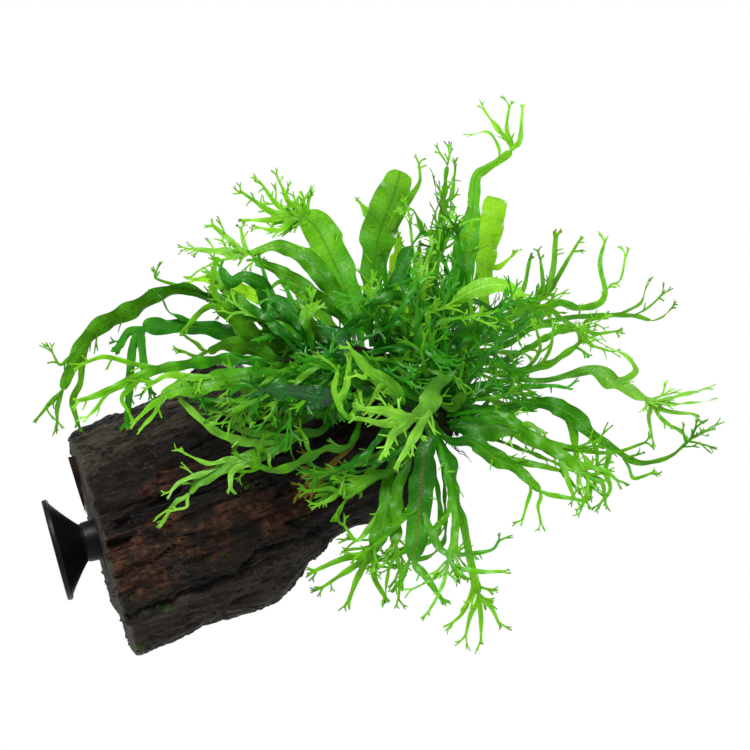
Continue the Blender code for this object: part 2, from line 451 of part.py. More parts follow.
def build_wood(collection, cutters):
    shape = bmesh.new()
    rings = []
    for station in WOOD_STATIONS:
        corners = wood_ring(station[0], station is WOOD_STATIONS[0])
        rings.append([shape.verts.new(corner) for corner in corners])
    for lower, upper in zip(rings, rings[1:]):
        for i in range(WOOD_SIDES):
            j = (i + 1) % WOOD_SIDES
            shape.faces.new((lower[i], upper[i], upper[j], lower[j]))
    shape.faces.new(rings[0])
    shape.faces.new(reversed(rings[-1]))
    bmesh.ops.recalc_face_normals(shape, faces=shape.faces)
    wood = object_from("driftwood", mesh_from("driftwood", shape), collection,
                       material("bogwood", (0.035, 0.022, 0.016), 0.75))
    drill = bmesh.new()
    bmesh.ops.create_cone(drill, cap_ends=True, segments=CUP_STEPS, radius1=SOCKET_RADIUS,
                          radius2=SOCKET_RADIUS, depth=CUTTER_LENGTH)
    socket = object_from("socket_cutter", mesh_from("socket_cutter", drill), cutters, wood.data.materials[0])
    socket.rotation_euler = (0, math.radians(90), 0)
    socket.location = (WOOD_STATIONS[0][0] * MM - SOCKET_DEPTH, 0, 0)
    socket.hide_render = True
    socket.display_type = "WIRE"
    cut = wood.modifiers.new("socket", "BOOLEAN")
    cut.object = socket
    cut.operation = "DIFFERENCE"


def stem_line(name):
    """The evenly stepped (place, radius) line of a stem."""
    points = STEMS[name]
    return smooth([placed(p) for p in points], [p[3] * MM for p in points], STEM_POINTS)[0]


def build_stem(name, line, collection, finish):
    """A creeping stem: a round tube along a line of (place, radius)."""
    curve = bpy.data.curves.new(name, "CURVE")
    curve.dimensions = "3D"
    curve.bevel_depth = 1.0
    curve.bevel_resolution = STEM_SIDES
    curve.use_fill_caps = True
    spline = curve.splines.new("POLY")
    spline.points.add(len(line) - 1)
    for point, (place, radius) in zip(spline.points, line):
        point.co = (*place, 1)
        point.radius = radius
    return object_from(name, curve, collection, finish)


def sprout(line, share, towards):
    """Where a stalk leaves a stem, just clear of its bark, on the side that faces a point."""
    at = share * (len(line) - 1)
    i = min(int(at), len(line) - 2)
    place = line[i][0].lerp(line[i + 1][0], at - i)
    along = (line[i + 1][0] - line[i][0]).normalized()
    out = towards - place
    out -= out.dot(along) * along
    return place + out.normalized() * (line[i][1] + FROND_THICKNESS / 2 + GAP)


def sides_at(line, roll):
    """For each step of a midline: its left and right edge, and the blade's sideways and facing directions."""
    found = []
    for i, (place, width) in enumerate(line):
        along = (line[min(i + 1, len(line) - 1)][0] - line[max(i - 1, 0)][0]).normalized()
        across = along.cross(-BACK).normalized()
        face = across.cross(along)
        side = math.cos(roll) * across + math.sin(roll) * face
        half = side * width / 2 / math.cos(roll)
        found.append((place - half, place + half, side, side.cross(along)))
    return found


def add_lobe(shape, left, right, points, face):
    """A lobe's strip, out from the edge between two corners of the blade."""
    places = [placed(p) for p in points]
    before = (left.co + right.co) / 2
    for i, place in enumerate(places):
        along = (place - before).normalized()
        if i + 1 < len(places):
            along = (along + (places[i + 1] - place).normalized()).normalized()
        half = along.cross(face).normalized() * max(points[i][3], LEAST_WIDTH) * MM / 2
        corners = shape.verts.new(place - half), shape.verts.new(place + half)
        shape.faces.new((left, right, corners[1], corners[0]))
        left, right = corners
        before = place


def side_edge(lobe, edges, start, steps, taken):
    """The free step of the blade's edge that a side lobe grows from, and whether it is the right-hand edge."""
    wanted = start + lobe[0] * (1 - start)
    i = min(int(wanted * steps), steps - 1)
    middle = (edges[i][0] + edges[i][1]) / 2
    rightward = (placed(lobe[1][0]) - middle).dot(edges[i][2]) > 0
    for step in (0, -1, 1, -2, 2, -3, 3):
        if 0 < i + step < steps and (i + step, rightward) not in taken:
            taken.add((i + step, rightward))
            return i + step, rightward
    raise ValueError("no free edge for a lobe")


def build_frond(frond, lines, collection, finish):
    name, stem, share, roll, path, lobes = frond
    roll = math.radians(roll)
    places = [placed(p) for p in path]
    base = sprout(lines[stem], share, places[0])
    widths = [max(p[3], LEAST_WIDTH) * MM for p in path]
    _, stalk = smooth([base, places[0]], [1, 1], 1)
    _, length = smooth([base, *places], [1, *widths], 2)
    steps = max(3, round(length / STATION))
    line, _ = smooth([base, *places], [STALK_WIDTH * MM, *widths], steps)
    edges = sides_at(line, roll)
    shape = bmesh.new()
    left = [shape.verts.new(e[0]) for e in edges]
    right = [shape.verts.new(e[1]) for e in edges]
    tips = [lobe for lobe in lobes if lobe[0] == 1]
    end = edges[-1]
    middle = (end[0] + end[1]) / 2
    tips.sort(key=lambda lobe: (placed(lobe[1][0]) - middle).normalized().dot(end[2]))
    splits = [shape.verts.new(end[0].lerp(end[1], k / len(tips))) for k in range(1, len(tips))]
    for i in range(steps - 1):
        shape.faces.new((left[i], right[i], right[i + 1], left[i + 1]))
    shape.faces.new((left[-2], right[-2], right[-1], *reversed(splits), left[-1]))
    rim = [left[-1], *splits, right[-1]]
    for k, lobe in enumerate(tips):
        add_lobe(shape, rim[k], rim[k + 1], lobe[1], end[3])
    taken = set()
    for lobe in lobes:
        if lobe[0] == 1:
            continue
        i, rightward = side_edge(lobe, edges, stalk / length, steps, taken)
        pair = (right[i + 1], right[i]) if rightward else (left[i], left[i + 1])
        add_lobe(shape, *pair, lobe[1], edges[i][3])
    frond_object = object_from("frond_" + name, mesh_from("frond_" + name, shape), collection, finish)
    solid = frond_object.modifiers.new("thickness", "SOLIDIFY")
    solid.thickness = FROND_THICKNESS
    solid.offset = 0


def main():
    clear_scene()
    parts = collection_named("java_fern_on_driftwood")
    cutters = collection_named("cutters")
    build_cup(parts)
    build_wood(parts, cutters)
    bark = material("rhizome_bark", (0.06, 0.035, 0.015), 0.7)
    lines = {name: stem_line(name) for name in STEMS}
    for name, line in lines.items():
        build_stem("rhizome_" + name, line, parts, bark)
    leaf = material("fern_green", (0.06, 0.25, 0.012), 0.38)
    dead = material("dead_leaf_brown", (0.2, 0.09, 0.02), 0.7)
    for frond in FRONDS:
        build_frond(frond, lines, parts, dead if frond[0] == "dead_leaf" else leaf)


main()
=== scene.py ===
"""A lace java fern on a block of driftwood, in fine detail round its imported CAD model."""
import math
import random

import bpy
import numpy as np
from mathutils import Matrix, Vector, noise
from mathutils.bvhtree import BVHTree


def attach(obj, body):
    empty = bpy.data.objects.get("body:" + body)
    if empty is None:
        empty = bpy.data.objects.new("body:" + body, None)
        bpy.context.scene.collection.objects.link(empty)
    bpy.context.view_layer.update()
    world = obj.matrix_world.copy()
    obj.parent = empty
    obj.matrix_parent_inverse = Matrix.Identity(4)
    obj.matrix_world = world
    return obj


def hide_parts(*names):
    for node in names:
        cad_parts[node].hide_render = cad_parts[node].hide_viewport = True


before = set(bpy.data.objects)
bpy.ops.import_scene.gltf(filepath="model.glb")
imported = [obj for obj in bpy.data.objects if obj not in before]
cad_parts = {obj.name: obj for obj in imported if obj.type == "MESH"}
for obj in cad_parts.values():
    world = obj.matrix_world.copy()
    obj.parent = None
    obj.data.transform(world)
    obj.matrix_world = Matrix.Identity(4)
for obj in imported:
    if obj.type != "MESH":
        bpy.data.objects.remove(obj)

MM = 0.001
GAMMA = 2.2
GAP = 0.35 * MM  # left between pieces that touch

# Where each set of random draws starts.
FROND_SEED = 100
GROUP_SEED = 900
WOOD_SEED = 7

# How the plant sits against the world's axes.
LEAN = math.radians(14.6)
TURN = math.radians(5.4)
TIP = math.radians(6.0)

# How the crown opens, as in the CAD model.
CROWN = (125, 65)
CROWN_DEPTH = -24
CROWN_REACH = 18
SPLAY = 0.0095
AXIS = (124, 68)
SPREAD = 1600

# Camera.
DISTANCE = 1600 * MM
SENSOR = 36
SEEN_WIDTH = 290.25 * MM
LENS = SENSOR * DISTANCE / SEEN_WIDTH
FAR = 20

# Light: the world's strength, then each lamp's place from the middle of the plant as (right, up, back) in
# metres, its width and its power.
WORLD_LIGHT = 0.5
LAMPS = {
    "key": ((-0.35, 0.75, -0.6), 0.5, 17),
    "fill": ((0.7, 0.1, -0.7), 0.6, 3),
    "rim": ((0.2, 0.55, 0.8), 0.6, 7),
}
FLOOR_LEVEL = -0.3
FLOOR_RADIUS = 0.7
FLOOR_MIDDLE = 0.12  # its x
FLOOR_CORNERS = 64
FLOOR_COLOUR = (0.85, 0.85, 0.85)

# Suction cup, turned about its axis: (radius, distance from the glass).
CUP_STEPS = 144
CORNER_CUTS = (0.18, 0.09)  # where each corner is cut back, as shares of the edges beside it
CUP_PROFILE = (
    (0, 21.5), (7.2, 21.5), (7.9, 20.8), (8.0, 16.0), (7.8, 12.4), (7.3, 11.6), (8.2, 10.6), (11.4, 7.8),
    (15.4, 4.6), (18.2, 2.6), (19.5, 2.3), (20.0, 1.8), (20.0, 0.4), (19.6, 0), (16.8, 0), (15.6, 0.7),
    (12.0, 2.6), (7.0, 4.2), (0, 4.8),
)

# Driftwood: (x, lowest z, highest z, frontmost y, rearmost y) at each station.
SOCKET_RADIUS = 8.35
SOCKET_DEPTH = 4.6
SAWN_TURN = math.radians(2.0)
WOOD_SQUARENESS = 4.6
WOOD_COLUMNS = 400
WOOD_RINGS = 172
CAP_RINGS = 22
SOCKET_RINGS = 4
END_RINGS = 9
WOOD_STATIONS = (
    (17.4, -46.0, 39.5, -31, 30), (26, -44.5, 41.0, -32, 31), (38, -42.5, 42.5, -34, 31),
    (50, -41.0, 44.3, -36, 29), (58, -41.5, 45.5, -37, 28), (66, -41.3, 47.5, -37, 27),
    (72, -40.8, 51.5, -37, 25), (78, -39.8, 53.0, -37, 24), (84, -35.8, 50.0, -37, 22),
    (91, -31.5, 47.0, -36, 20), (98, -26.0, 45.5, -35, 18), (104, -21.0, 44.8, -34, 16),
    (110, -17.5, 44.0, -33, 14), (117, -17.0, 42.6, -32, 12), (124, -18.5, 40.0, -31, 9),
    (131, -19.8, 36.6, -29, 7), (138, -17.5, 32.5, -26, 4), (144, -12.0, 28.0, -21, 1),
    (148, -4.0, 22.0, -16, -4),
)
WOOD_START = WOOD_STATIONS[0][0]

# Rhizome: (right, up, back, radius) along each stem.
STEM_POINTS = 22  # where fronds and roots sprout
STEM_RINGS = 110
STEM_SIDES = 26
STEM_LUMPS = 0.34
STEMS = {
    "main": ((89, 73, -40, 2.5), (100, 74, -38, 3.3), (111, 75, -35, 3.6), (122, 74, -32, 4.0),
             (131, 69, -33, 3.8), (140, 61, -36, 4.1), (148, 52, -39, 3.7), (153, 43, -39, 2.6)),
    "branch": ((124, 81, -22, 2.8), (131, 82, -10, 3.4), (141, 80, 2, 3.6), (152, 77, 14, 3.4),
               (162, 73, 26, 2.6)),
}

# Fronds.
STALK_WIDTH = 1.7
LEAST_WIDTH = 1.0
CURVE_STEPS = 12  # between two points of a midline
FROND_THICKNESS = 0.9 * MM

# Each frond: name, its stem, how far along that stem it sprouts, the roll of its blade in degrees, the
# blade's midline as (right, up, back, width) in millimetres, and its lobes. A lobe starts a share of the way
# along the blade, 1 being the tip, and has a midline of its own.
FRONDS = (
    ("upper_left_blade", "main", 0.4, 14,
     [(118, 85, 2, 3.5), (114, 97, 4, 11), (108, 112, 8, 14.5), (101, 125, 12, 14.5), (95, 130, 14, 10)],
     [(1, [(90, 136, 15, 2.5), (86, 145, 16, 1)]), (1, [(86, 134, 15, 2.5), (80, 142, 17, 1)]),
      (1, [(84, 131, 15, 3), (72, 139, 18, 1)]), (1, [(83, 128, 14, 2.5), (75, 128, 14, 1)]),
      (1, [(87, 124, 13, 2.5), (79, 125, 12, 1)])]),
    ("upper_left_strap", "main", 0.365, -18,
     [(114, 90, -3, 2.5), (104, 106, -2, 8.5), (95, 115, 0, 7), (85, 118, 3, 4.5), (76, 115, 5, 3.5)],
     [(1, [(73, 120, 6, 2), (72, 125, 7, 1)]), (1, [(67, 121, 7, 2.5), (61, 126, 9, 1.5)]),
      (1, [(64, 116, 8, 3.5), (51, 117, 10, 1)]), (1, [(63, 112, 6, 1.5), (55, 108, 5, 1)])]),
    ("upper_left_hook", "main", 0.3, 22,
     [(114, 86, -15, 2.5), (104, 96, -16, 5.5), (94, 104, -14, 6), (85, 109, -11, 4.5),
      (77, 113, -8, 2.5)],
     [(0.6, [(87, 104, -14, 2), (83, 101, -14, 1)])]),
    ("dark_curl", "main", 0.19, -24,
     [(105, 83, -20, 3), (91, 87, -20, 6), (83, 96, -19, 7.5), (80, 103, -21, 6), (73, 106, -21, 4.5),
      (68, 104, -20, 4.5), (64, 110, -19, 3)],
     [(0.5, [(80, 111, -19, 1)])]),
    ("yellow_leaf", "main", 0.28, 20,
     [(100, 91, 9, 1.5), (83, 96, 12, 4.5), (72, 101, 14, 5.5), (61, 105, 16, 4), (54, 105, 17, 1)],
     []),
    ("left_arch", "main", 0.22, 16,
     [(100, 84, 2, 3), (84, 89, 0, 5.5), (70, 95, -2, 6), (59, 98, -4, 4), (52, 101, -6, 5),
      (43, 100, -8, 5.5), (35, 96, -10, 7), (26, 91, -12, 8), (18, 87, -14, 7), (11, 80, -16, 6),
      (7, 72, -18, 5), (3, 62, -19, 3.5)],
     [(1, [(-1, 58, -20, 2), (-6, 52, -21, 1)]), (1, [(1, 55, -18, 2), (1, 50, -17, 1)]),
      (0.85, [(10, 65, -14, 2.5), (7, 58, -12, 3), (9, 49, -11, 1.5)]),
      (0.9, [(2, 72, -20, 1), (-1, 77, -21, 1)]), (0.35, [(40, 105, -8, 1), (39, 107, -8, 1)])]),
    ("left_strap", "main", 0.155, -12,
     [(100, 79, -12, 3), (80, 82, -14, 6), (66, 85, -19, 7), (52, 87, -25, 6), (43, 87, -30, 6),
      (34, 87, -34, 9.5)],
     [(1, [(28, 84, -36, 3.5), (25, 79, -37, 3)]),
      (1, [(30, 77, -36, 3.5), (29, 63, -38, 3.5), (28, 49, -38, 2)]),
      (1, [(34, 78, -36, 3.5), (35, 69, -37, 3), (37, 62, -38, 1.5)]),
      (0.7, [(45, 92, -28, 2), (42, 97, -29, 1)])]),
    ("left_thin_fork", "main", 0.02, 10,
     [(87, 71, -43, 2.5), (78, 73, -43, 4), (66, 74, -42, 4.5), (52, 72, -43, 4.5), (40, 70, -44, 3.5),
      (32, 67, -44, 4), (23, 63, -43, 3), (16, 60, -42, 2.5), (9, 58, -41, 1.5)],
     [(0.85, [(16, 55, -42, 1.5), (13, 52, -42, 1)]), (0.7, [(26, 59, -44, 2), (29, 53, -44, 1)]),
      (0.6, [(28, 73, -43, 2), (19, 75, -40, 2), (10, 72, -38, 1)])]),
    ("left_bright_blade", "main", 0.055, -15,
     [(95, 66, -45, 2.5), (83, 68, -49, 6), (69, 67, -51, 7.5), (58, 65, -52, 8.5), (48, 63, -52, 7.5),
      (41, 60, -51, 5)],
     [(1, [(36, 55, -50, 2.5), (31, 50, -49, 1)]), (1, [(39, 54, -51, 2.5), (34, 48, -51, 1.5)]),
      (0.75, [(44, 68, -51, 2.5), (38, 65, -50, 1.5)])]),
    ("left_hump_leaf", "main", 0.085, 25,
     [(95, 71, -28, 2.5), (84, 74, -30, 6), (76, 78, -31, 7.5), (66, 79, -32, 6), (59, 77, -33, 4)],
     [(1, [(55, 80, -33, 2), (52, 82, -33, 1)]), (1, [(55, 75, -33, 2), (50, 77, -33, 1)])]),
    ("mid_left_dark", "main", 0.1, -20,
     [(98, 81, -35, 3), (95, 89, -34, 6), (89, 95, -32, 7), (83, 98, -30, 3.5)],
     [(0.7, [(90, 101, -31, 1.5)])]),
    ("mid_left_short", "main", 0.335, 18,
     [(114, 80, 12, 2.5), (107, 87, 16, 5.5), (99, 95, 18, 5.5), (93, 100, 19, 3)],
     []),
    ("mid_left_hub", "main", 0.12, 12,
     [(98, 74, -22, 3.5), (90, 78, -23, 7.5), (79, 82, -24, 8.5), (70, 89, -25, 7.5), (63, 96, -26, 7)],
     [(1, [(61, 103, -27, 2.5), (62, 111, -28, 2)]), (1, [(56, 92, -27, 2.5), (51, 86, -28, 2)]),
      (0.3, [(88, 70, -22, 2.5), (83, 68, -23, 1.5)])]),
    ("glossy_upright_leaf", "main", 0.43, -22,
     [(119, 68, -44, 3), (114, 75, -47, 8.5), (110, 81, -48, 8.5), (104, 87, -48, 4.5)],
     [(0.5, [(106, 77, -47, 1.5)])]),
    ("glossy_low_leaf", "main", 0.31, 15,
     [(112, 60, -50, 2.5), (104, 59, -55, 8.5), (92, 61, -57, 7.5), (81, 62, -57, 4)],
     [(1, [(76, 65, -58, 1.5)]), (1, [(76, 60, -58, 1.5)])]),
    ("wood_long_frond", "main", 0.34, -14,
     [(105, 48, -44, 2.5), (94, 45, -46, 4), (84, 39, -47, 5.5), (74, 36, -47, 5), (65, 32, -47, 5.5),
      (56, 27, -46, 4.5), (52, 22, -45, 3.5)],
     [(1, [(47, 19, -45, 2), (43, 13, -44, 1)]), (1, [(51, 17, -46, 1.5), (47, 16, -46, 1)]),
      (0.8, [(49, 27, -47, 2), (45, 23, -47, 1)]), (0.62, [(59, 34, -48, 2), (50, 38, -48, 1)]),
      (0.45, [(69, 31, -48, 2.5), (68, 24, -49, 1.5)]),
      (0.4, [(63, 46, -49, 3.5), (49, 58, -50, 2.5)]), (0.3, [(70, 49, -46, 3), (73, 61, -46, 1.5)])]),
    ("wood_curved_crest", "main", 0.42, 20,
     [(116, 43, -50, 2.5), (104, 39, -51, 3.5), (95, 34, -50, 4), (86, 31, -50, 3), (78, 33, -49, 1.5)],
     [(0.5, [(97, 43, -50, 2), (95, 47, -50, 1)]), (0.9, [(83, 37, -49, 1.5), (80, 40, -49, 1)])]),
    ("wood_upper_strap", "main", 0.28, -10,
     [(113, 58, -34, 2.5), (97, 58, -36, 4.5), (82, 57, -38, 4.5), (67, 58, -38, 3),
      (59, 58, -38, 2.5), (52, 61, -38, 1)],
     [(0.5, [(73, 63, -38, 2), (65, 66, -38, 1)]), (0.8, [(65, 53, -38, 2), (61, 55, -38, 1)])]),
    ("wood_lower_strap", "main", 0.385, 16,
     [(116, 53, -37, 2.5), (100, 53, -35, 5.5), (89, 49, -36, 4.5), (80, 46, -36, 4), (71, 42, -36, 2)],
     [(0.6, [(78, 52, -36, 2.5), (69, 49, -36, 1)])]),
    ("wood_small_crest", "main", 0.53, -16,
     [(131, 34, -40, 2.5), (124, 29, -42, 4), (117, 25, -43, 4.5), (111, 23, -43, 4)],
     [(1, [(107, 20, -43, 2), (102, 18, -43, 1)]), (1, [(106, 24, -43, 2), (98, 23, -43, 1)]),
      (0.6, [(112, 28, -43, 2), (107, 30, -43, 1)]), (0.5, [(115, 21, -44, 1.5)])]),
    ("dead_leaf", "main", 0.45, 12,
     [(117, 45, -34, 1.5), (113, 39, -35, 2.5), (108, 34, -35, 2.5), (101, 27, -34, 1)],
     [(0.4, [(105, 39, -36, 1.5), (100, 36, -36, 1)]), (0.6, [(114, 33, -35, 1)])]),
    ("top_blade", "branch", 0.1, -16,
     [(122, 85, 6, 3), (122, 97, 9, 6), (124, 111, 13, 11), (126, 124, 17, 15), (131, 137, 21, 14.5),
      (134, 147, 25, 9.5)],
     [(0.75, [(141, 142, 22, 1.5), (141, 150, 23, 1)]), (0.72, [(118, 135, 20, 1)])]),
    ("top_back_leaf", "branch", 0.18, 24,
     [(128, 86, 18, 2.5), (130, 97, 22, 5.5), (132, 111, 27, 6), (133, 122, 31, 3.5)],
     []),
    ("dark_middle_strap", "main", 0.47, 20,
     [(132, 77, -24, 3), (131, 90, -23, 6.5), (133, 103, -22, 7.5), (135, 112, -21, 6.5),
      (138, 118, -20, 4)],
     [(1, [(141, 122, -20, 1)]), (0.5, [(128, 105, -23, 2), (128, 112, -24, 1)])]),
    ("lace_frond", "branch", 0.3, -20,
     [(145, 86, 0, 2.5), (145, 99, 1, 4.5), (146, 111, 3, 3), (148, 121, 5, 3), (150, 130, 7, 2.5),
      (151, 140, 9, 2.5), (152, 149, 11, 1.5)],
     [(1, [(149, 154, 11, 1)]), (1, [(153, 154, 12, 1)]),
      (0.78, [(154, 137, 8, 1.5), (155, 147, 8, 1)]), (0.72, [(148, 137, 9, 1), (147, 143, 9, 1)]),
      (0.58, [(143, 123, 4, 3), (139, 132, 4, 1.5), (135, 131, 4, 1)]),
      (0.45, [(153, 118, 5, 1), (156, 121, 5, 1)])]),
    ("lace_side_frond", "main", 0.56, 18,
     [(139, 80, -13, 2.5), (138, 92, -12, 4.5), (141, 103, -11, 4), (144, 112, -10, 2.5),
      (146, 119, -9, 1.5)],
     [(0.5, [(136, 110, -12, 1.5), (134, 116, -13, 1)])]),
    ("lace_dark_tips", "main", 0.64, -14,
     [(149, 78, -31, 2.5), (150, 90, -32, 5), (151, 100, -32, 4.5), (153, 107, -31, 3)],
     [(1, [(150, 112, -31, 1)]), (1, [(155, 111, -31, 1)])]),
    ("tall_frond", "branch", 0.42, 10,
     [(156, 84, 4, 2.5), (157, 97, 6, 7), (158, 110, 9, 9.5), (160, 123, 12, 9.5), (162, 134, 15, 5),
      (163, 144, 18, 4.5), (167, 148, 20, 3.5), (172, 151, 21, 3), (177, 155, 22, 3.5)],
     [(1, [(172, 163, 23, 3), (166, 171, 25, 1)]), (1, [(175, 163, 21, 2), (176, 172, 21, 1)]),
      (1, [(180, 159, 20, 2.5), (181, 171, 19, 1)]), (0.95, [(168, 162, 24, 1.5), (161, 161, 25, 1)])]),
    ("backlit_blade", "branch", 0.52, -12,
     [(165, 87, 26, 2.5), (166, 101, 29, 7), (167, 115, 33, 9.5), (169, 126, 37, 10.5),
      (171, 137, 41, 9.5)],
     [(0.5, [(172, 110, 33, 2.5), (177, 114, 33, 1)])]),
    ("pale_leaf", "main", 0.77, 20,
     [(152, 92, -16, 2), (157, 98, -19, 5), (165, 102, -21, 7.5), (173, 103, -23, 6.5),
      (182, 99, -24, 2.5)],
     []),
    ("right_hub_frond", "branch", 0.62, -18,
     [(165, 80, 6, 2.5), (174, 89, 5, 3.5), (182, 94, 4, 6.5), (188, 96, 3, 9.5)],
     [(1, [(189, 104, 2, 2), (188, 113, 1, 1)]), (1, [(193, 109, 3, 2.5), (194, 122, 3, 2)]),
      (1, [(196, 108, 6, 2), (203, 120, 8, 1)]), (0.7, [(182, 103, 2, 2), (184, 113, 1, 1.5)]),
      (1, [(196, 90, 5, 2), (203, 86, 7, 1)])]),
    ("right_upper_strap", "branch", 0.72, 15,
     [(172, 82, 16, 2), (184, 90, 18, 2.5), (194, 96, 20, 3.5), (203, 94, 22, 2.5), (211, 96, 24, 3),
      (213, 101, 25, 2), (211, 111, 26, 2), (213, 120, 27, 1)],
     [(0.75, [(219, 105, 24, 1), (221, 114, 23, 1)])]),
    ("right_fine_strap", "branch", 0.8, -15,
     [(174, 79, 10, 2), (186, 87, 11, 2), (198, 90, 12, 2), (211, 91, 14, 2), (223, 91, 16, 2),
      (231, 89, 17, 1.5)],
     [(1, [(236, 91, 18, 1), (239, 94, 19, 1)]), (0.8, [(227, 96, 16, 1.5), (229, 102, 16, 1)]),
      (0.9, [(232, 96, 17, 1), (235, 99, 17, 1)])]),
    ("right_cluster", "branch", 0.88, 12,
     [(172, 73, 14, 2), (184, 79, 17, 2.5), (195, 85, 19, 3), (203, 86, 21, 2.5)],
     [(1, [(210, 84, 22, 1.5), (218, 85, 23, 1)]), (1, [(207, 80, 21, 1.5), (216, 77, 21, 1)]),
      (1, [(206, 89, 22, 1.5), (212, 90, 23, 1)])]),
    ("right_low_strap", "main", 0.865, -20,
     [(164, 69, -8, 2), (174, 68, -9, 2.5), (184, 70, -10, 3), (193, 73, -11, 3), (204, 81, -12, 2)],
     [(0.6, [(192, 79, -12, 1.5), (193, 86, -12, 1)]), (0.5, [(188, 79, -10, 1.5), (186, 87, -9, 1)])]),
    ("right_thin_strap", "main", 0.9, 10,
     [(169, 62, -18, 1.5), (180, 63, -20, 2.5), (190, 64, -21, 2), (199, 63, -22, 1)],
     []),
    ("right_long_frond", "main", 0.85, 14,
     [(165, 64, -28, 2), (177, 66, -30, 2), (190, 66, -32, 2), (199, 68, -34, 2.5),
      (208, 70, -36, 4.5), (216, 66, -38, 7.5), (223, 62, -39, 4), (230, 58, -40, 4.5)],
     [(1, [(241, 60, -41, 2.5), (253, 63, -43, 1)]), (1, [(241, 57, -41, 2), (253, 58, -42, 1)]),
      (1, [(237, 54, -40, 2), (247, 53, -41, 1)]), (1, [(235, 51, -39, 2), (242, 46, -39, 1)]),
      (1, [(230, 51, -38, 2), (231, 45, -37, 1)]),
      (0.85, [(225, 70, -36, 2.5), (222, 75, -35, 2), (216, 78, -34, 1)])]),
    ("right_drop_frond", "main", 0.95, -14,
     [(164, 55, -30, 2), (173, 55, -33, 2.5), (182, 57, -36, 3), (190, 57, -38, 5), (196, 55, -40, 7),
      (202, 51, -41, 7), (208, 45, -42, 4), (216, 40, -43, 2.5), (223, 35, -44, 2.5),
      (230, 34, -45, 2), (239, 37, -46, 1.5), (247, 44, -47, 1)],
     [(0.45, [(201, 44, -40, 3.5), (202, 34, -40, 2.5)]),
      (0.62, [(213, 31, -44, 2.5), (215, 24, -44, 2), (211, 18, -44, 1)]),
      (0.7, [(224, 28, -45, 1.5), (231, 30, -46, 1)]), (0.55, [(210, 37, -42, 1.5), (209, 27, -41, 1)])]),
    ("broad_leaf", "main", 0.97, 12,
     [(155, 48, -44, 3.5), (162, 48, -45, 9.5), (171, 48, -46, 11), (178, 46, -47, 8.5)],
     [(1, [(183, 49, -48, 3), (187, 47, -49, 1.5)]),
      (1, [(187, 41, -46, 3.5), (200, 39, -46, 1.5), (216, 38, -46, 1.5), (229, 42, -46, 1)])]),
    ("broad_low_leaf", "main", 0.86, -16,
     [(152, 43, -45, 2.5), (162, 42, -48, 6), (170, 36, -50, 7), (177, 33, -52, 4.5),
      (183, 28, -53, 3.5), (188, 23, -54, 3.5)],
     [(1, [(187, 17, -54, 2), (188, 11, -54, 1)]), (1, [(196, 21, -54, 2), (206, 19, -55, 1)]),
      (0.55, [(188, 33, -52, 2.5), (196, 31, -52, 1.5)]),
      (0.95, [(183, 19, -53, 1.5), (181, 12, -52, 1)])]),
    ("pale_thin_strap", "main", 0.9, 10,
     [(165, 54, -50, 1.5), (176, 52, -52, 2.5), (182, 46, -54, 2.5), (189, 40, -55, 2.5),
      (195, 36, -56, 2.5)],
     [(1, [(198, 29, -57, 2), (202, 24, -57, 1)]), (1, [(203, 34, -57, 2), (210, 31, -57, 1)])]),
    ("crest_mass_frond", "main", 0.93, -12,
     [(162, 51, -56, 2), (178, 48, -59, 3), (191, 41, -61, 4), (200, 34, -62, 4.5), (206, 29, -62, 4.5)],
     [(1, [(212, 26, -62, 2), (213, 20, -62, 1)]), (1, [(206, 22, -63, 2), (204, 17, -63, 1)]),
      (0.8, [(199, 26, -63, 2), (201, 21, -63, 1)]), (0.9, [(213, 31, -61, 2), (218, 27, -61, 1)])]),
    ("central_hanging_blade", "main", 0.74, -10,
     [(145, 46, -45, 3.5), (143, 37, -48, 8), (142, 25, -50, 10), (141, 14, -51, 8.5),
      (140, 4, -51, 8.5), (138, -4, -51, 5)],
     [(1, [(134, -12, -51, 2)]), (1, [(143, -9, -52, 3.5), (150, -19, -53, 1.5)]),
      (0.75, [(152, -1, -53, 2.5), (168, 0, -55, 1.5), (172, 4, -56, 1)])]),
    ("hanging_left_fan", "main", 0.57, 14,
     [(131, 38, -36, 2.5), (129, 27, -38, 4.5), (128, 16, -40, 6), (126, 7, -41, 6.5),
      (123, -1, -41, 7.5)],
     [(1, [(112, -3, -42, 2.5), (100, -8, -42, 1.5)]), (1, [(113, -8, -42, 2.5), (104, -14, -43, 1)]),
      (1, [(117, -11, -41, 2.5), (114, -19, -41, 1.5)]),
      (1, [(124, -11, -40, 2.5), (128, -18, -40, 1.5)]), (0.62, [(117, 4, -40, 2), (112, 10, -40, 1)])]),
    ("hanging_middle_strap", "main", 0.63, -18,
     [(137, 38, -41, 2.5), (133, 25, -43, 4.5), (132, 13, -44, 4.5), (132, 1, -45, 4)],
     [(1, [(129, -8, -45, 2), (128, -17, -45, 1)]), (1, [(134, -9, -46, 2), (133, -19, -46, 1)])]),
    ("hanging_right_frond", "main", 0.88, 16,
     [(152, 38, -42, 3), (154, 31, -43, 6.5), (155, 21, -43, 4), (158, 12, -42, 3), (160, 1, -42, 3),
      (162, -9, -42, 3), (164, -17, -42, 4.5)],
     [(1, [(161, -25, -42, 2), (159, -33, -42, 1)]), (1, [(165, -26, -42, 2), (165, -34, -42, 1)]),
      (1, [(169, -22, -43, 2), (172, -28, -43, 1)]), (0.95, [(158, -24, -41, 1.5), (154, -28, -41, 1)])]),
    ("hanging_right_hub", "main", 0.84, -14,
     [(151, 34, -60, 2), (154, 20, -60, 2.5), (155, 8, -61, 3), (153, -4, -62, 4.5)],
     [(1, [(146, -11, -62, 1.5), (138, -15, -62, 1)]), (1, [(149, -16, -63, 1.5), (145, -23, -63, 1)]),
      (1, [(158, -10, -63, 2)]), (1, [(165, -8, -62, 2), (174, -8, -62, 1)])]),
    ("front_crest_frond", "main", 0.7, 10,
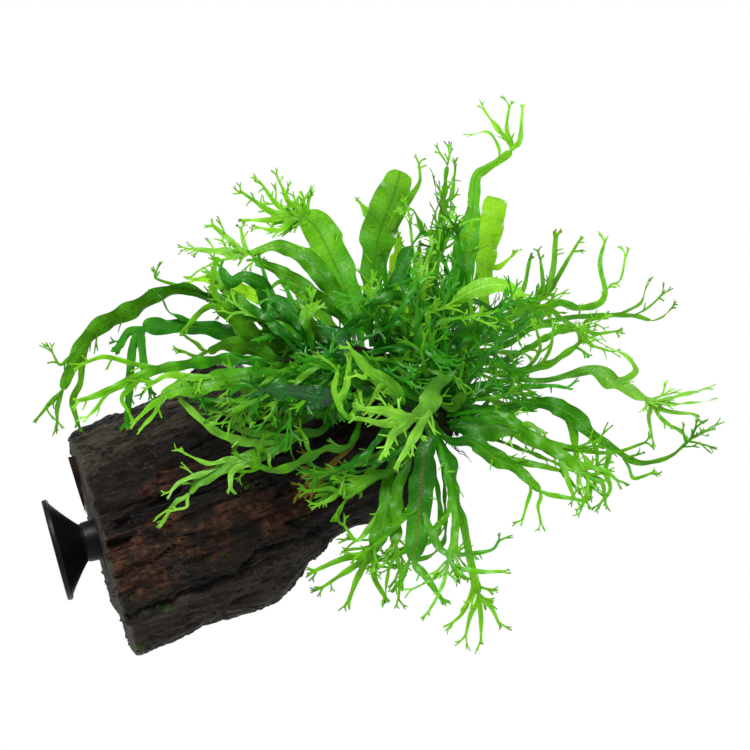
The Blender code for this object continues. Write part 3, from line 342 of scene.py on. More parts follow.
     [(152, 68, -52, 3), (148, 63, -58, 7.5), (144, 55, -62, 8), (138, 51, -64, 7)],
     [(1, [(128, 54, -65, 4), (119, 55, -66, 1.5)]), (1, [(128, 49, -65, 3), (119, 51, -66, 1.5)]),
      (1, [(131, 45, -66, 3.5), (128, 38, -67, 1.5)]),
      (0.9, [(138, 42, -65, 3.5), (133, 34, -66, 1.5)])]),
    ("front_bright_strap", "main", 0.6, -14,
     [(134, 58, -52, 3.5), (131, 63, -57, 6), (124, 68, -60, 5), (119, 73, -61, 3.5),
      (114, 79, -61, 1.5)],
     [(0.5, [(125, 62, -60, 2.5), (123, 58, -60, 1)]), (0.7, [(120, 67, -62, 2), (117, 68, -62, 1)])]),
    ("front_fork_strap", "main", 0.39, 15,
     [(115, 52, -57, 2), (110, 57, -58, 2.5), (113, 64, -58, 3), (114, 73, -59, 1.5)],
     [(0.4, [(108, 63, -57, 2.5), (109, 70, -58, 1.5), (103, 75, -58, 1)])]),
    ("front_dark_leaf", "main", 0.67, -15,
     [(146, 58, -46, 2.5), (141, 61, -48, 6.5), (134, 63, -50, 4.5)],
     []),
    ("front_small_leaf", "main", 0.79, 15,
     [(153, 55, -44, 2.5), (156, 58, -47, 5), (159, 61, -49, 3)],
     []),
    ("fine_left_arc", "main", 0.5, -25,
     [(133, 69, -37, 1.5), (135, 79, -39, 2.5), (140, 89, -40, 2.5), (147, 95, -40, 1.5)],
     [(0.5, [(143, 82, -41, 1.5), (149, 86, -41, 1)])]),
    ("fine_right_arc", "main", 0.8, 25,
     [(158, 69, -26, 1.5), (161, 79, -28, 2.5), (165, 86, -29, 3), (172, 90, -30, 2)],
     [(0.5, [(162, 89, -29, 2), (161, 95, -29, 1)]), (1, [(177, 87, -31, 1.5), (179, 83, -31, 1)])]),
    ("fine_rear_strap", "branch", 0.36, 20,
     [(146, 78, 26, 2), (143, 93, 32, 4), (140, 107, 38, 4), (141, 118, 43, 2)],
     [(0.7, [(136, 112, 40, 1.5)])]),
    ("right_rear_leaf", "branch", 0.92, -20,
     [(169, 77, 30, 2.5), (177, 86, 38, 4.5), (185, 89, 44, 5.5), (193, 93, 50, 2.5)],
     []),
)

# The colour family of each frond; the others are "mid".
FAMILIES = {
    "upper_left_blade": "fresh", "upper_left_strap": "fresh", "dark_curl": "dark", "yellow_leaf": "backlit",
    "left_thin_fork": "fresh", "left_bright_blade": "fresh", "mid_left_dark": "dark", "left_strap": "dark",
    "glossy_upright_leaf": "glossy", "glossy_low_leaf": "glossy", "wood_long_frond": "crest",
    "wood_upper_strap": "dark", "top_blade": "fresh", "top_back_leaf": "backlit",
    "dark_middle_strap": "dark", "lace_dark_tips": "dark", "backlit_blade": "backlit", "pale_leaf": "pale",
    "lace_side_frond": "fresh", "tall_frond": "fresh", "right_upper_strap": "fresh",
    "right_fine_strap": "fresh", "right_long_frond": "crest", "right_thin_strap": "dark",
    "front_bright_strap": "bright", "front_crest_frond": "crest", "front_dark_leaf": "dark",
    "central_hanging_blade": "ribbed", "hanging_right_frond": "fresh", "dead_leaf": "dead",
    "front_fork_strap": "bright",
}

# How strong the ruffle is of the blades with little of it.
EVEN = {
    "pale_leaf": 0.35, "upper_left_blade": 0.5, "top_blade": 0.55, "backlit_blade": 0.5,
    "front_small_leaf": 0.4, "tall_frond": 0.7, "left_arch": 0.6, "left_strap": 0.6, "broad_leaf": 0.7,
    "central_hanging_blade": 0.8,
}

# How wide the end stays of the blades with a blunt end, and of the others, as shares of the blade's width.
BLUNT = {"backlit_blade": 0.8, "top_blade": 0.45}
TIP_WIDTH = 0.12

# How many fine lobes the crested blades end in, and the blades whose lobes have many teeth.
CRESTS = {
    "upper_left_blade": 22, "front_crest_frond": 4, "right_long_frond": 4, "right_hub_frond": 4,
    "hanging_right_frond": 5, "hanging_right_hub": 4, "hanging_left_fan": 5, "hanging_middle_strap": 5,
    "crest_mass_frond": 7, "wood_curved_crest": 4, "wood_small_crest": 4, "upper_left_strap": 4,
    "right_drop_frond": 5, "right_low_strap": 4, "dead_leaf": 8,
}
DENSE = ("upper_left_blade", "upper_left_strap", "front_crest_frond", "dead_leaf")

# The fronds with thin strands that cross in a net.
LACE = ("lace_frond", "lace_side_frond", "lace_dark_tips")

# Each family: sRGB colours at the stalk, at the tip, and of the midrib, and how far it lets light through.
GREENS = {
    "dark": ((20, 86, 8), (56, 142, 14), (60, 110, 26), 0.24),
    "mid": ((32, 108, 4), (106, 178, 28), (92, 140, 30), 0.3),
    "fresh": ((44, 126, 6), (124, 192, 36), (58, 104, 22), 0.28),
    "bright": ((74, 154, 18), (142, 206, 58), (118, 190, 50), 0.3),
    "crest": ((38, 116, 8), (138, 208, 62), (94, 146, 40), 0.3),
    "ribbed": ((22, 92, 8), (78, 160, 20), (112, 70, 26), 0.24),
    "backlit": ((110, 190, 26), (164, 228, 48), (140, 200, 50), 0.5),
    "pale": ((84, 156, 26), (124, 192, 44), (150, 200, 80), 0.26),
    "glossy": ((10, 72, 20), (28, 108, 26), (40, 110, 40), 0.12),
    "dead": ((88, 96, 26), (140, 116, 38), (110, 70, 26), 0.24),
}


def plant_axes():
    """The plant frame's right, up and back directions in the world."""
    level = Vector((math.cos(TURN), -math.sin(TURN), 0))
    back = Vector((math.sin(TURN) * math.cos(TIP), math.cos(TURN) * math.cos(TIP), -math.sin(TIP)))
    upright = level.cross(back)
    right = math.cos(LEAN) * level - math.sin(LEAN) * upright
    up = math.sin(LEAN) * level + math.cos(LEAN) * upright
    return right, up, back


RIGHT, UP, BACK = plant_axes()
MIDDLE = (AXIS[0] * RIGHT + AXIS[1] * UP) * MM


def placed_flat(right, up, back):
    """The world position of a point seen at (right, up) millimetres and lying so far back."""
    scale = 1 + back / SPREAD
    right = AXIS[0] + (right - AXIS[0]) * scale
    up = AXIS[1] + (up - AXIS[1]) * scale
    return (right * RIGHT + up * UP + back * BACK) * MM


def placed(point):
    """The world position of a (right, up, back, ...) point in millimetres, once the crown has opened."""
    right, up, back = point[:3]
    reach = math.hypot(max(right - CROWN[0], 0), up - CROWN[1]) - CROWN_REACH
    back = CROWN_DEPTH + (back - CROWN_DEPTH) * (1 + SPLAY * max(reach, 0))
    return placed_flat(right, up, back)


def seen(place):
    """The (right, up) millimetres at which a world place is seen from the front."""
    back = place.dot(BACK) / MM
    scale = 1 + back / SPREAD
    right = AXIS[0] + (place.dot(RIGHT) / MM - AXIS[0]) / scale
    up = AXIS[1] + (place.dot(UP) / MM - AXIS[1]) / scale
    return right, up


def between(a, b, c, d, share):
    """A Catmull-Rom curve's value between b and c."""
    square = share * share
    return 0.5 * (2 * b + (c - a) * share + (2 * a - 5 * b + 4 * c - d) * square
                  + (3 * b - a - 3 * c + d) * square * share)


def smooth(points, values, count):
    """Even steps along a smooth curve through points, and its length.

    The steps are (place, value) at each of count + 1 places."""
    padded = [2 * points[0] - points[1], *points, 2 * points[-1] - points[-2]]
    fine = []
    for i in range(len(points) - 1):
        for step in range(CURVE_STEPS):
            share = step / CURVE_STEPS
            place = between(*padded[i:i + 4], share)
            fine.append((place, values[i] + (values[i + 1] - values[i]) * share))
    fine.append((points[-1], values[-1]))
    reach = [0.0]
    for (a, _), (b, _) in zip(fine, fine[1:]):
        reach.append(reach[-1] + (b - a).length)
    found = []
    at = 0
    for step in range(count + 1):
        wanted = reach[-1] * step / count
        while at < len(fine) - 2 and reach[at + 1] < wanted:
            at += 1
        share = (wanted - reach[at]) / max(reach[at + 1] - reach[at], 1e-9)
        place = fine[at][0].lerp(fine[at + 1][0], share)
        found.append((place, fine[at][1] + (fine[at + 1][1] - fine[at][1]) * share))
    return found, reach[-1]


def along_at(line, i):
    """The direction of a line of (place, width) at one of its steps."""
    return (line[min(i + 1, len(line) - 1)][0] - line[max(i - 1, 0)][0]).normalized()


def squared(face, along):
    """A facing direction made square to a line's direction."""
    return (face - face.dot(along) * along).normalized()


def turned(direction, axis, angle):
    return Matrix.Rotation(angle, 3, axis) @ direction


def linear(colour):
    """An sRGB colour of 0 to 255 as linear numbers."""
    return tuple((c / 255) ** GAMMA for c in colour)


def set_mark(data, name, vectors):
    """Gives a mesh's corners vectors that its material reads."""
    made = data.attributes.new(name, "FLOAT_VECTOR", "POINT")
    made.data.foreach_set("vector", np.array(vectors, np.float32).ravel())


def new_object(name, places, faces, finish):
    """A smooth-shaded mesh object of one material."""
    data = bpy.data.meshes.new(name)
    data.from_pydata(places, [], faces)
    data.materials.append(finish)
    data.shade_smooth()
    made = bpy.data.objects.new(name, data)
    bpy.context.scene.collection.objects.link(made)
    return made


# ---------------------------------------------------------------- materials

# How fine each pattern of a frond is, as the scale of its noise.
BLOTCHES = 90
NET_CELLS = 620
TIP_SPOTS = 45
SHEEN_PATCHES = 160
SWELLS = 260

# How strong the blotches are, by family, and the veins, the midrib, the pieces' own shades and the brown
# tips.
BLOTCHED = {"crest": 0.35, "pale": 0.35}
OTHERS_BLOTCHED = 0.5
VEINED = 0.3
RIBBED = 0.55
SHADED = 0.5
BROWNED = 0.85
VEIN_TINT = (0.3, 0.42, 0.3)
GLOW_TINT = (1.0, 1.0, 0.6)
TIP_BROWN = (62, 46, 22)
VEIN_GAP = 3.1  # mm along the blade
VEIN_SLANT = -6.0

# sRGB colours of the wood, with the painted shade of its fissures and hollows and its painted glints.
WOOD_COLOURS = {
    "deep": (12, 9, 7), "plain": (29, 21, 17), "grey": (72, 67, 57), "dark_rust": (46, 27, 17),
    "rust": (98, 65, 47), "streak": (64, 58, 50), "sawn": (46, 42, 32), "pale_sawn": (88, 84, 66),
    "fissure_shade": (9, 7, 6), "hollow_shade": (7, 5, 4), "painted_glint": (118, 104, 90),
}
GRAIN_STRETCH = (0.16, 1, 1)
GRAIN_TURN = (0, math.radians(-8), 0)

# sRGB colours of the rubber, the rhizome and the roots, dark and light.
RUBBER = ((18, 18, 19), (32, 32, 34))
BARK = ((12, 14, 6), (26, 30, 10))
BARK_BROWN = (24, 18, 10)
ROOTS = {"root_brown": ((44, 30, 18), (92, 66, 36)), "root_black": ((20, 14, 12), (48, 34, 28))}


class Nodes:
    """A material's node tree, with short ways to add what the materials here use."""

    def __init__(self, name):
        self.material = bpy.data.materials.new(name)
        self.material.use_nodes = True
        self.tree = self.material.node_tree
        self.shader = self.tree.nodes["Principled BSDF"]
        self.output = self.tree.nodes["Material Output"]

    def put(self, socket, value):
        if isinstance(value, bpy.types.NodeSocket):
            self.tree.links.new(value, socket)
        elif isinstance(value, tuple) and len(value) == 3 and socket.type == "RGBA":
            socket.default_value = (*value, 1)
        else:
            socket.default_value = value

    def add(self, kind, inputs=(), **settings):
        made = self.tree.nodes.new(kind)
        for key, value in settings.items():
            setattr(made, key, value)
        for key, value in dict(inputs).items():
            self.put(made.inputs[key], value)
        return made

    def coat(self, colour, roughness, specular):
        """Sets the surface's colour, roughness and specular level."""
        inputs = self.shader.inputs
        self.put(inputs["Base Color"], colour)
        self.put(inputs["Roughness"], roughness)
        self.put(inputs["Specular IOR Level"], specular)

    def mix(self, share, a, b, blend="MIX"):
        made = self.add("ShaderNodeMix", data_type="RGBA", blend_type=blend)
        for index, value in ((0, share), (6, a), (7, b)):
            self.put(made.inputs[index], value)
        return made.outputs[2]

    def math(self, operation, a, b=0.0, c=0.0):
        made = self.add("ShaderNodeMath", operation=operation)
        for index, value in enumerate((a, b, c)):
            self.put(made.inputs[index], value)
        return made.outputs[0]

    def place(self, stretch=(1, 1, 1), turn=(0, 0, 0)):
        """The place on the object, scaled differently along each axis."""
        where = self.add("ShaderNodeTexCoord").outputs["Object"]
        made = self.add("ShaderNodeMapping", {"Vector": where, "Scale": stretch, "Rotation": turn})
        return made.outputs["Vector"]

    def noise(self, where, scale, detail=3.0, rough=0.55):
        inputs = {"Vector": where, "Scale": scale, "Detail": detail, "Roughness": rough}
        return self.add("ShaderNodeTexNoise", inputs).outputs["Fac"]

    def times(self, a, b):
        return self.math("MULTIPLY", a, b)

    def between(self, value, low, high, start=0.0, end=1.0):
        """Turns low..high of a value into start..end, smoothly and held at both ends."""
        made = self.add("ShaderNodeMapRange", interpolation_type="SMOOTHSTEP")
        for index, number in enumerate((value, low, high, start, end)):
            self.put(made.inputs[index], number)
        return made.outputs[0]

    def mark(self, name):
        made = self.add("ShaderNodeAttribute", attribute_name=name)
        return made.outputs["Vector"]

    def split(self, vector):
        return self.add("ShaderNodeSeparateXYZ", {"Vector": vector}).outputs

    def bump(self, height, strength, distance):
        made = self.add("ShaderNodeBump", {"Height": height, "Strength": strength, "Distance": distance})
        self.put(self.shader.inputs["Normal"], made.outputs["Normal"])


def fern_material(name, family):
    stalk, tip, rib, through = GREENS[family]
    n = Nodes(name)
    along, across, tipward = n.split(n.mark("leaf"))
    where = n.place()
    side = n.math("ABSOLUTE", across)
    wide_only = n.between(along, 0.0, 0.5)

    # From the stalk's colour to the tip's, with blotches.
    base = n.mix(n.between(tipward, 0.05, 0.95), linear(stalk), linear(tip))
    blotch = n.between(n.noise(where, BLOTCHES, 3), 0.35, 0.7)
    base = n.mix(n.times(blotch, BLOTCHED.get(family, OTHERS_BLOTCHED)), base, linear(stalk))

    # Veins: a net of cells, and slanting side veins on wide blades.
    cells = n.add("ShaderNodeTexVoronoi", {"Vector": where, "Scale": NET_CELLS}, feature="DISTANCE_TO_EDGE")
    net = n.between(cells.outputs["Distance"], 0.0, 0.13, 1.0, 0.0)
    net = n.times(net, n.between(along, 0.0, 0.5, 0.2, 1.0))
    slanting = n.math("MULTIPLY_ADD", side, VEIN_SLANT, n.times(along, 2 * math.pi / VEIN_GAP))
    veins = n.times(n.between(n.math("SINE", slanting), 0.72, 1.0), wide_only)
    lines = n.math("MAXIMUM", n.times(net, VEINED), n.times(veins, VEINED))
    base = n.mix(lines, base, n.mix(1.0, base, VEIN_TINT, "MULTIPLY"))

    # The midrib, the piece's own shade and brown spots at the very tips.
    base = n.mix(n.times(n.between(side, 0.03, 0.13, 1.0, 0.0), RIBBED), base, linear(rib))
    shade = n.split(n.mark("shade"))[0]
    base = n.mix(n.between(shade, 0.0, 1.0, 0.0, SHADED), base, linear([c * 0.5 for c in stalk]))
    spotted = n.between(n.noise(where, TIP_SPOTS, 1), 0.54, 0.6)
    brown = n.times(n.between(tipward, 0.96, 1.0), spotted)
    base = n.mix(n.times(brown, BROWNED), base, linear(TIP_BROWN))

    glossy = family == "glossy"
    gloss = 0.22 if glossy else 0.36
    rough = n.between(n.noise(where, SHEEN_PATCHES, 2), 0.3, 0.7, gloss - 0.06, gloss + 0.12)
    n.coat(base, rough, 0.38 if glossy else 0.18)
    swell = n.math("SUBTRACT", n.times(n.noise(where, SWELLS, 2), 0.9), n.times(lines, 1.6))
    n.bump(swell, 0.45, 0.35 * MM)

    # Light that comes through the leaf.
    glow = n.add("ShaderNodeBsdfTranslucent", {"Color": n.mix(1.0, base, GLOW_TINT, "MULTIPLY")})
    both = n.add("ShaderNodeMixShader")
    for index, value in enumerate((through, n.shader.outputs[0], glow.outputs[0])):
        n.put(both.inputs[index], value)
    n.put(n.output.inputs["Surface"], both.outputs[0])
    return n.material


def wood_material():
    n = Nodes("bogwood")
    colours = {name: linear(colour) for name, colour in WOOD_COLOURS.items()}
    # The zones: grey, red, and painted shade in the hollows.
    grey, red, hollow_shade = n.split(n.mark("zone"))
    sawn = n.split(n.mark("sawn"))[0]
    grain_place = n.place(GRAIN_STRETCH, GRAIN_TURN)
    where = n.place()
    streak = n.noise(grain_place, 900, 4, 0.6)

    # Dark wood with grey and red zones, light streaks and a pale sawn face.
    broad = n.noise(grain_place, 170, 4, 0.6)
    base = n.mix(n.between(broad, 0.32, 0.68), colours["deep"], colours["plain"])
    base = n.mix(n.times(grey, n.between(streak, 0.35, 0.65, 0.45, 1.0)), base, colours["grey"])
    rusty = n.between(n.noise(where, 260, 4, 0.7), 0.35, 0.7)
    rust = n.mix(rusty, colours["dark_rust"], colours["rust"])
    base = n.mix(n.times(red, n.between(n.noise(where, 120, 3), 0.36, 0.58)), base, rust)
    base = n.mix(n.between(streak, 0.55, 0.78, 0.0, 0.4), base, colours["streak"])
    pale = n.mix(n.between(streak, 0.3, 0.7), colours["sawn"], colours["pale_sawn"])
    base = n.mix(sawn, base, pale)

    # Painted shade in fissures and between crumbs outside the sawn face, painted shade in hollows, and a few
    # painted glints.
    crumbs = n.noise(where, 420, 6, 0.75)
    along_grain = n.between(n.noise(grain_place, 430, 5, 0.7), 0.36, 0.46, 0.85, 0.0)
    # Fissures along the grain and between crumbs: painted shade in the colour, and sunk in the bump.
    fissure_shade = n.math("MAXIMUM", along_grain, n.between(crumbs, 0.3, 0.44, 0.8, 0.0))
    base = n.mix(n.times(fissure_shade, n.math("SUBTRACT", 1.0, sawn)), base, colours["fissure_shade"])
    base = n.mix(n.between(hollow_shade, 0.08, 0.7, 0.0, 0.95), base, colours["hollow_shade"])
    # Painted glints: small light specks in a few patches.
    some = n.between(n.noise(where, 70, 2), 0.48, 0.62)
    painted_glints = n.times(n.between(n.noise(where, 1300, 1, 0.4), 0.66, 0.72), some)
    base = n.mix(n.times(painted_glints, 0.5), base, colours["painted_glint"])

    n.coat(base, n.between(streak, 0.3, 0.7, 0.3, 0.6), 0.16)
    height = n.math("ADD", n.times(streak, 0.6), n.times(crumbs, 0.9))
    height = n.math("SUBTRACT", height, n.times(fissure_shade, 0.35))
    n.bump(height, 1.0, 2.6 * MM)
    return n.material


def rubber_material():
    n = Nodes("black_rubber")
    where = n.place()
    dust = n.between(n.noise(where, 700, 5, 0.7), 0.45, 0.75)
    base = n.mix(n.times(dust, 0.5), linear(RUBBER[0]), linear(RUBBER[1]))
    n.coat(base, n.between(dust, 0.0, 1.0, 0.38, 0.55), 0.1)
    n.bump(n.noise(where, 1800, 2), 0.12, 0.2 * MM)
    return n.material


def bark_material():
    n = Nodes("rhizome_bark")
    where = n.place()
    patch = n.between(n.noise(where, 240, 4, 0.6), 0.35, 0.65)
    base = n.mix(patch, linear(BARK[0]), linear(BARK[1]))
    base = n.mix(n.between(n.noise(where, 900, 2), 0.5, 0.7, 0.0, 0.6), base, linear(BARK_BROWN))
    n.coat(base, 0.7, 0.08)
    n.bump(n.noise(where, 1000, 3), 0.6, 0.5 * MM)
    return n.material


def root_material(name):
    dark, light = ROOTS[name]
    n = Nodes(name)
    where = n.place()
    base = n.mix(n.between(n.noise(where, 300, 3), 0.35, 0.65), linear(dark), linear(light))
    n.coat(base, 0.65, 0.2)
    n.bump(n.noise(where, 2000, 2), 0.3, 0.2 * MM)
    return n.material


# ---------------------------------------------------------------- leaves

ROUND = 6.3  # a little over a whole turn
BLADE_STEP = 0.9 * MM
STRAP_STEP = 1.0 * MM
FINEST = 0.85 * MM  # a fork's least width

# Where the corners of a strip lie across it, for a blade, a strap and a thread, by width.
WIDE = (-1, -0.76, -0.44, -0.13, 0, 0.13, 0.44, 0.76, 1)
NARROW = (-1, -0.5, 0, 0.5, 1)
THREAD = (-1, 0, 1)
WIDE_FROM = 4.5 * MM
NARROW_FROM = 1.6 * MM

# The margin's scallops and notches, its ruffle, the whole blade's swell and its fold, as shares of its width.
RUFFLE_GAP = 8 * MM
SCALLOP = 0.09
NOTCH = 0.06
RUFFLE = 0.24
SWELL = 0.06
FOLD = 0.18
RIB_DEPTH = 0.22 * MM

# How a fine lobe bends, curls, forks and shrinks, in radians and shares.
BEND = 0.5
CURL = 0.45
THREE_FORKS = 0.3  # how often a lobe forks in three
FORK_SPREAD = (0.22, 0.55)
FORK_WIDTH = (0.62, 0.85)
FORK_LENGTH = (0.5, 0.9)

# How often a step of a strip has a tooth.
DENSE_TEETH = 0.3
LOBE_TEETH = 0.05
SHORT_LOBE_TEETH = 0.02
BLADE_TEETH = 0.035
BLUNT_TEETH = 0.05
STRAP_TEETH = 0.09
LACE_TEETH = 0.12
LONG_LOBE = 8 * MM
LACE_STRANDS = 6


class Sheet:
    """The corners and faces of one piece, with what its material reads at each corner."""

    def __init__(self):
        self.places = []
        self.faces = []
        self.marks = []

    def grid(self, rows, marks):
        """Adds a strip: rows of corners, each joined to the next."""
        first = len(self.places)
        wide = len(rows[0])
        for row, row_marks in zip(rows, marks):
            self.places.extend(row)
            self.marks.extend(row_marks)
        for i in range(len(rows) - 1):
            for j in range(wide - 1):
                a = first + i * wide + j
                self.faces.append((a, a + 1, a + wide + 1, a + wide))

    def piece(self, name, finish, shade=0.0):
        made = new_object(name, [tuple(p) for p in self.places], self.faces, finish)
        set_mark(made.data, "leaf", self.marks)
        set_mark(made.data, "shade", [(shade, 0, 0)] * len(self.places))
        return made


def ribbon(sheet, line, facing, tips, rng, ruffle=1.0):
    """A strip of leaf along a midline of (place, width), facing a way at each step.

    tips are how near the frond's end its first and last steps lie, for the material."""
    widest = max(width for _, width in line)
    columns = WIDE if widest > WIDE_FROM else NARROW if widest > NARROW_FROM else THREAD
    period = RUFFLE_GAP + 0.6 * widest
    jagged = ruffle * 0.8 / (1 + 0.12 * widest / MM)
    phases = [rng.uniform(0, ROUND) for _ in range(5)]
    rows, marks = [], []
    run = 0.0
    for i, (place, width) in enumerate(line):
        along = along_at(line, i)
        face = squared(facing[i], along)
        side = along.cross(face)
        if i:
            run += (place - line[i - 1][0]).length
        turn = 2 * math.pi * run / period
        ends = min(1, run / RUFFLE_GAP)
        row, row_marks = [], []
        tip = tips[0] + (tips[1] - tips[0]) * i / (len(line) - 1)
        for v in columns:
            right = v > 0
            margin = SCALLOP * math.sin(0.83 * turn + phases[right])
            margin += NOTCH * math.sin(2.1 * turn + phases[2 + right])
            margin = 1 + jagged * margin
            out = v * width / 2 * (margin if abs(v) > 0.3 else 1)
            lift = -FOLD * abs(out)
            lift += ruffle * ends * RUFFLE * width * abs(v) ** 1.7 * math.sin(turn + phases[3] + 2.2 * right)
            lift += ruffle * ends * SWELL * width * math.sin(0.45 * turn + phases[4])
            if v == 0 and len(columns) == len(WIDE):
                lift -= RIB_DEPTH
            row.append(place + side * out + face * lift)
            row_marks.append((run / MM if columns == WIDE else 0, v, tip))
        rows.append(row)
        marks.append(row_marks)
    sheet.grid(rows, marks)


def sprig(sheet, start, along, face, width, length, forks, tip, rng):
    """A fine lobe that bends as it grows and ends in more lobes."""
    steps = max(3, round(length / BLADE_STEP))
    bend = rng.uniform(-BEND, BEND) / steps
    curl = rng.uniform(-CURL, CURL) / steps
    line = [(start.copy(), width)]
    facing = [face]
    last = 0.5 if forks == 0 else 0.85
    least = min(width, FINEST)
    for i in range(steps):
        along = turned(along, face, bend)
        side = along.cross(face).normalized()
        along = turned(along, side, curl).normalized()
        face = squared(face, along)
        share = (i + 1) / steps
        start = start + along * length / steps
        line.append((start.copy(), width * (1 + (last - 1) * share)))
        facing.append(face)
    reach = 1 if forks == 0 else tip + (1 - tip) * 0.5
    ribbon(sheet, line, facing, (tip, reach), rng, 0.5)
    if forks == 0:
        return
    count = 3 if rng.random() < THREE_FORKS else 2
    spread = rng.uniform(*FORK_SPREAD)
    for k in range(count):
        angle = spread * (k - (count - 1) / 2) * 2 / (count - 1) * 0.9 + rng.uniform(-0.15, 0.15)
        onward = turned(along, face, angle)
        tilt = turned(onward, onward.cross(face).normalized(), rng.uniform(-0.25, 0.25))
        thinner = max(width * rng.uniform(*FORK_WIDTH), least)
        sprig(sheet, start - along * width * 0.25, tilt, face, thinner, length * rng.uniform(*FORK_LENGTH),
              forks - 1, reach, rng)


def teeth(sheet, line, facing, tip, rng, often):
    """Small side lobes along a strip."""
    for i in range(2, len(line) - 1):
        if rng.random() > often:
            continue
        place, width = line[i]
        along = along_at(line, i)
        face = squared(facing[i], along)
        angle = rng.choice((-1, 1)) * rng.uniform(0.6, 1.1)
        out = turned(along, face, angle)
        size = rng.uniform(0.7, 1.1) * MM
        sprig(sheet, place + out * width * 0.15, out, face, size, rng.uniform(1.6, 4.2) * MM + width * 0.3,
              rng.choice((0, 0, 1)), tip, rng)


def swept(points, widths, step):
    """A smooth midline with a step of about this length, its widths eased."""
    _, length = smooth(points, widths, 2)
    line, _ = smooth(points, widths, max(3, round(length / step)))
    sizes = [w for _, w in line]
    reach = max(1, round(1.5 * MM / step))
    eased = []
    for i, (place, _) in enumerate(line):
        near = sizes[max(0, i - reach):i + reach + 1]
        eased.append((place, sum(near) / len(near)))
    return eased, length


def facing_from(line, first, twist):
    """Facing directions carried along a line from its start, with some twist."""
    face = first
    found = []
    for i in range(len(line)):
        along = along_at(line, i)
        face = turned(squared(face, along), along, twist / len(line))
        found.append(face)
    return found


def add_lobe(sheet, line, facing, share, points, tip, rng, crested):
    """A lobe that leaves a strip's midline near a share of its length and runs out through its edge."""
    last = len(line) - 1
    local = line[min(round(share * last), last)][1]
    at = max(1, min(last, round(share * last) - round(0.75 * local / BLADE_STEP)))
    place, width = line[at]
    along = along_at(line, at)
    face = facing[at]
    places = [placed(p) for p in points]
    lead = places[0] - place
    side = along.cross(face)
    start = place + side.normalized() * (0.22 * width * (1 if lead.dot(side) > 0 else -1))
    near = start.lerp(places[0], 0.35) + along * 0.12 * lead.length
    start_width = max(0.5 * width, points[0][3] * MM)
    widths = [0.35 * start_width, 0.55 * start_width + 0.5 * points[0][3] * MM]
    widths += [max(p[3], LEAST_WIDTH) * MM * 0.95 for p in points]
    run, length = swept([start + face * 0.15 * MM, near, *places], widths, BLADE_STEP)
    faces = facing_from(run, face, rng.uniform(-0.5, 0.5))
    ribbon(sheet, run, faces, (tip, tip + (1 - tip) * 0.7), rng, 0.7)
    onward = (run[-1][0] - run[-3][0]).normalized()
    end_width = max(run[-1][1], 0.8 * MM)
    often = DENSE_TEETH if crested else LOBE_TEETH if length > LONG_LOBE else SHORT_LOBE_TEETH
    teeth(sheet, run, faces, tip + (1 - tip) * 0.6, rng, often)
    count = 3 if rng.random() < 0.35 else 2
    for k in range(count):
        angle = rng.uniform(0.45, 0.85) * (k - (count - 1) / 2) / (count - 1) + rng.uniform(-0.15, 0.15)
        out = turned(onward, faces[-1], angle)
        sprig(sheet, run[-1][0] - onward * 0.4 * end_width, out, faces[-1],
              end_width * rng.uniform(0.7, 0.95), rng.uniform(1.5, 3.8) * MM, 1, tip + (1 - tip) * 0.7, rng)


def lace(sheet, line, facing, rng):
    """Thin strands that weave to and fro round a midline and cross in a net."""
    last = len(line) - 1
    for k in range(LACE_STRANDS):
        start = rng.uniform(0, ROUND)
        turns = rng.uniform(5, 9) * rng.choice((-1, 1))
        wide = rng.uniform(1.8, 4.4) * MM
        strand = []
        for i in range(last // 5, last - rng.randrange(0, max(1, last // 6))):
            share = i / last
            side = along_at(line, i).cross(facing[i])
            out = wide * math.sin(start + turns * share) * min(1, 3 * share)
            lift = facing[i] * 0.6 * MM * math.cos(start * k + turns * share)
            strand.append((line[i][0] + side * out + lift, rng.uniform(0.6, 0.9) * MM))
        faces = facing[last // 5:last // 5 + len(strand)]
        ribbon(sheet, strand, faces, (0.4, 0.9), rng, 0.3)
        teeth(sheet, strand, faces, 0.7, rng, LACE_TEETH)


def crest(sheet, line, facing, count, tip, rng):
    """A dense fan of fine forked lobes at a blade's end."""
    last = len(line) - 1
    width = line[int(0.8 * last)][1]
    for k in range(count):
        at = max(2, last - rng.randrange(0, max(1, round(3.5 * MM / BLADE_STEP))))
        along = (line[at][0] - line[at - 2][0]).normalized()
        across = 2 * (k + 0.5) / count - 1
        side = along.cross(facing[at]).normalized()
        out = turned(along, facing[at], -across * rng.uniform(0.9, 1.3))
        out = turned(out, side, rng.uniform(-0.5, 0.5))
        start = line[at][0] + side * across * 0.3 * min(width, line[at][1] + 1.5 * MM)
        sprig(sheet, start - along * 0.5 * MM, out, facing[at], rng.uniform(1.0, 1.5) * MM,
              rng.uniform(3.2, 6.0) * MM, 2, tip, rng)


def blade_faces(line, roll, rng):
    """The way a blade faces along its midline, rolling a little to and fro."""
    found = []
    middle = roll
    sway = rng.uniform(0.1, 0.35)
    turns = rng.uniform(3, 7)
    start = rng.uniform(0, ROUND)
    for i in range(len(line)):
        roll = middle + sway * math.sin(start + turns * i / len(line))
        along = along_at(line, i)
        across = along.cross(-BACK).normalized()
        face = across.cross(along)
        side = math.cos(roll) * across + math.sin(roll) * face
        found.append(side.cross(along))
    return found


def sprout(line, share, towards):
    """Where a stalk leaves a stem, just clear of its bark, on the side that faces a point."""
    at = share * (len(line) - 1)
    i = min(int(at), len(line) - 2)
    place = line[i][0].lerp(line[i + 1][0], at - i)
    along = (line[i + 1][0] - line[i][0]).normalized()
    out = towards - place
    out -= out.dot(along) * along
    return place + out.normalized() * (line[i][1] + FROND_THICKNESS / 2 + GAP)


def rounded(line, length, fade, least):
    """A line whose widths fall away over its last stretch, as a quarter of an ellipse does."""
    shaped = []
    for i, (place, width) in enumerate(line):
        left = length * (1 - i / (len(line) - 1))
        if left < fade:
            width *= max(least, math.sqrt(max(0.0, 1 - (1 - left / fade) ** 2)))
        shaped.append((place, width))
    return shaped


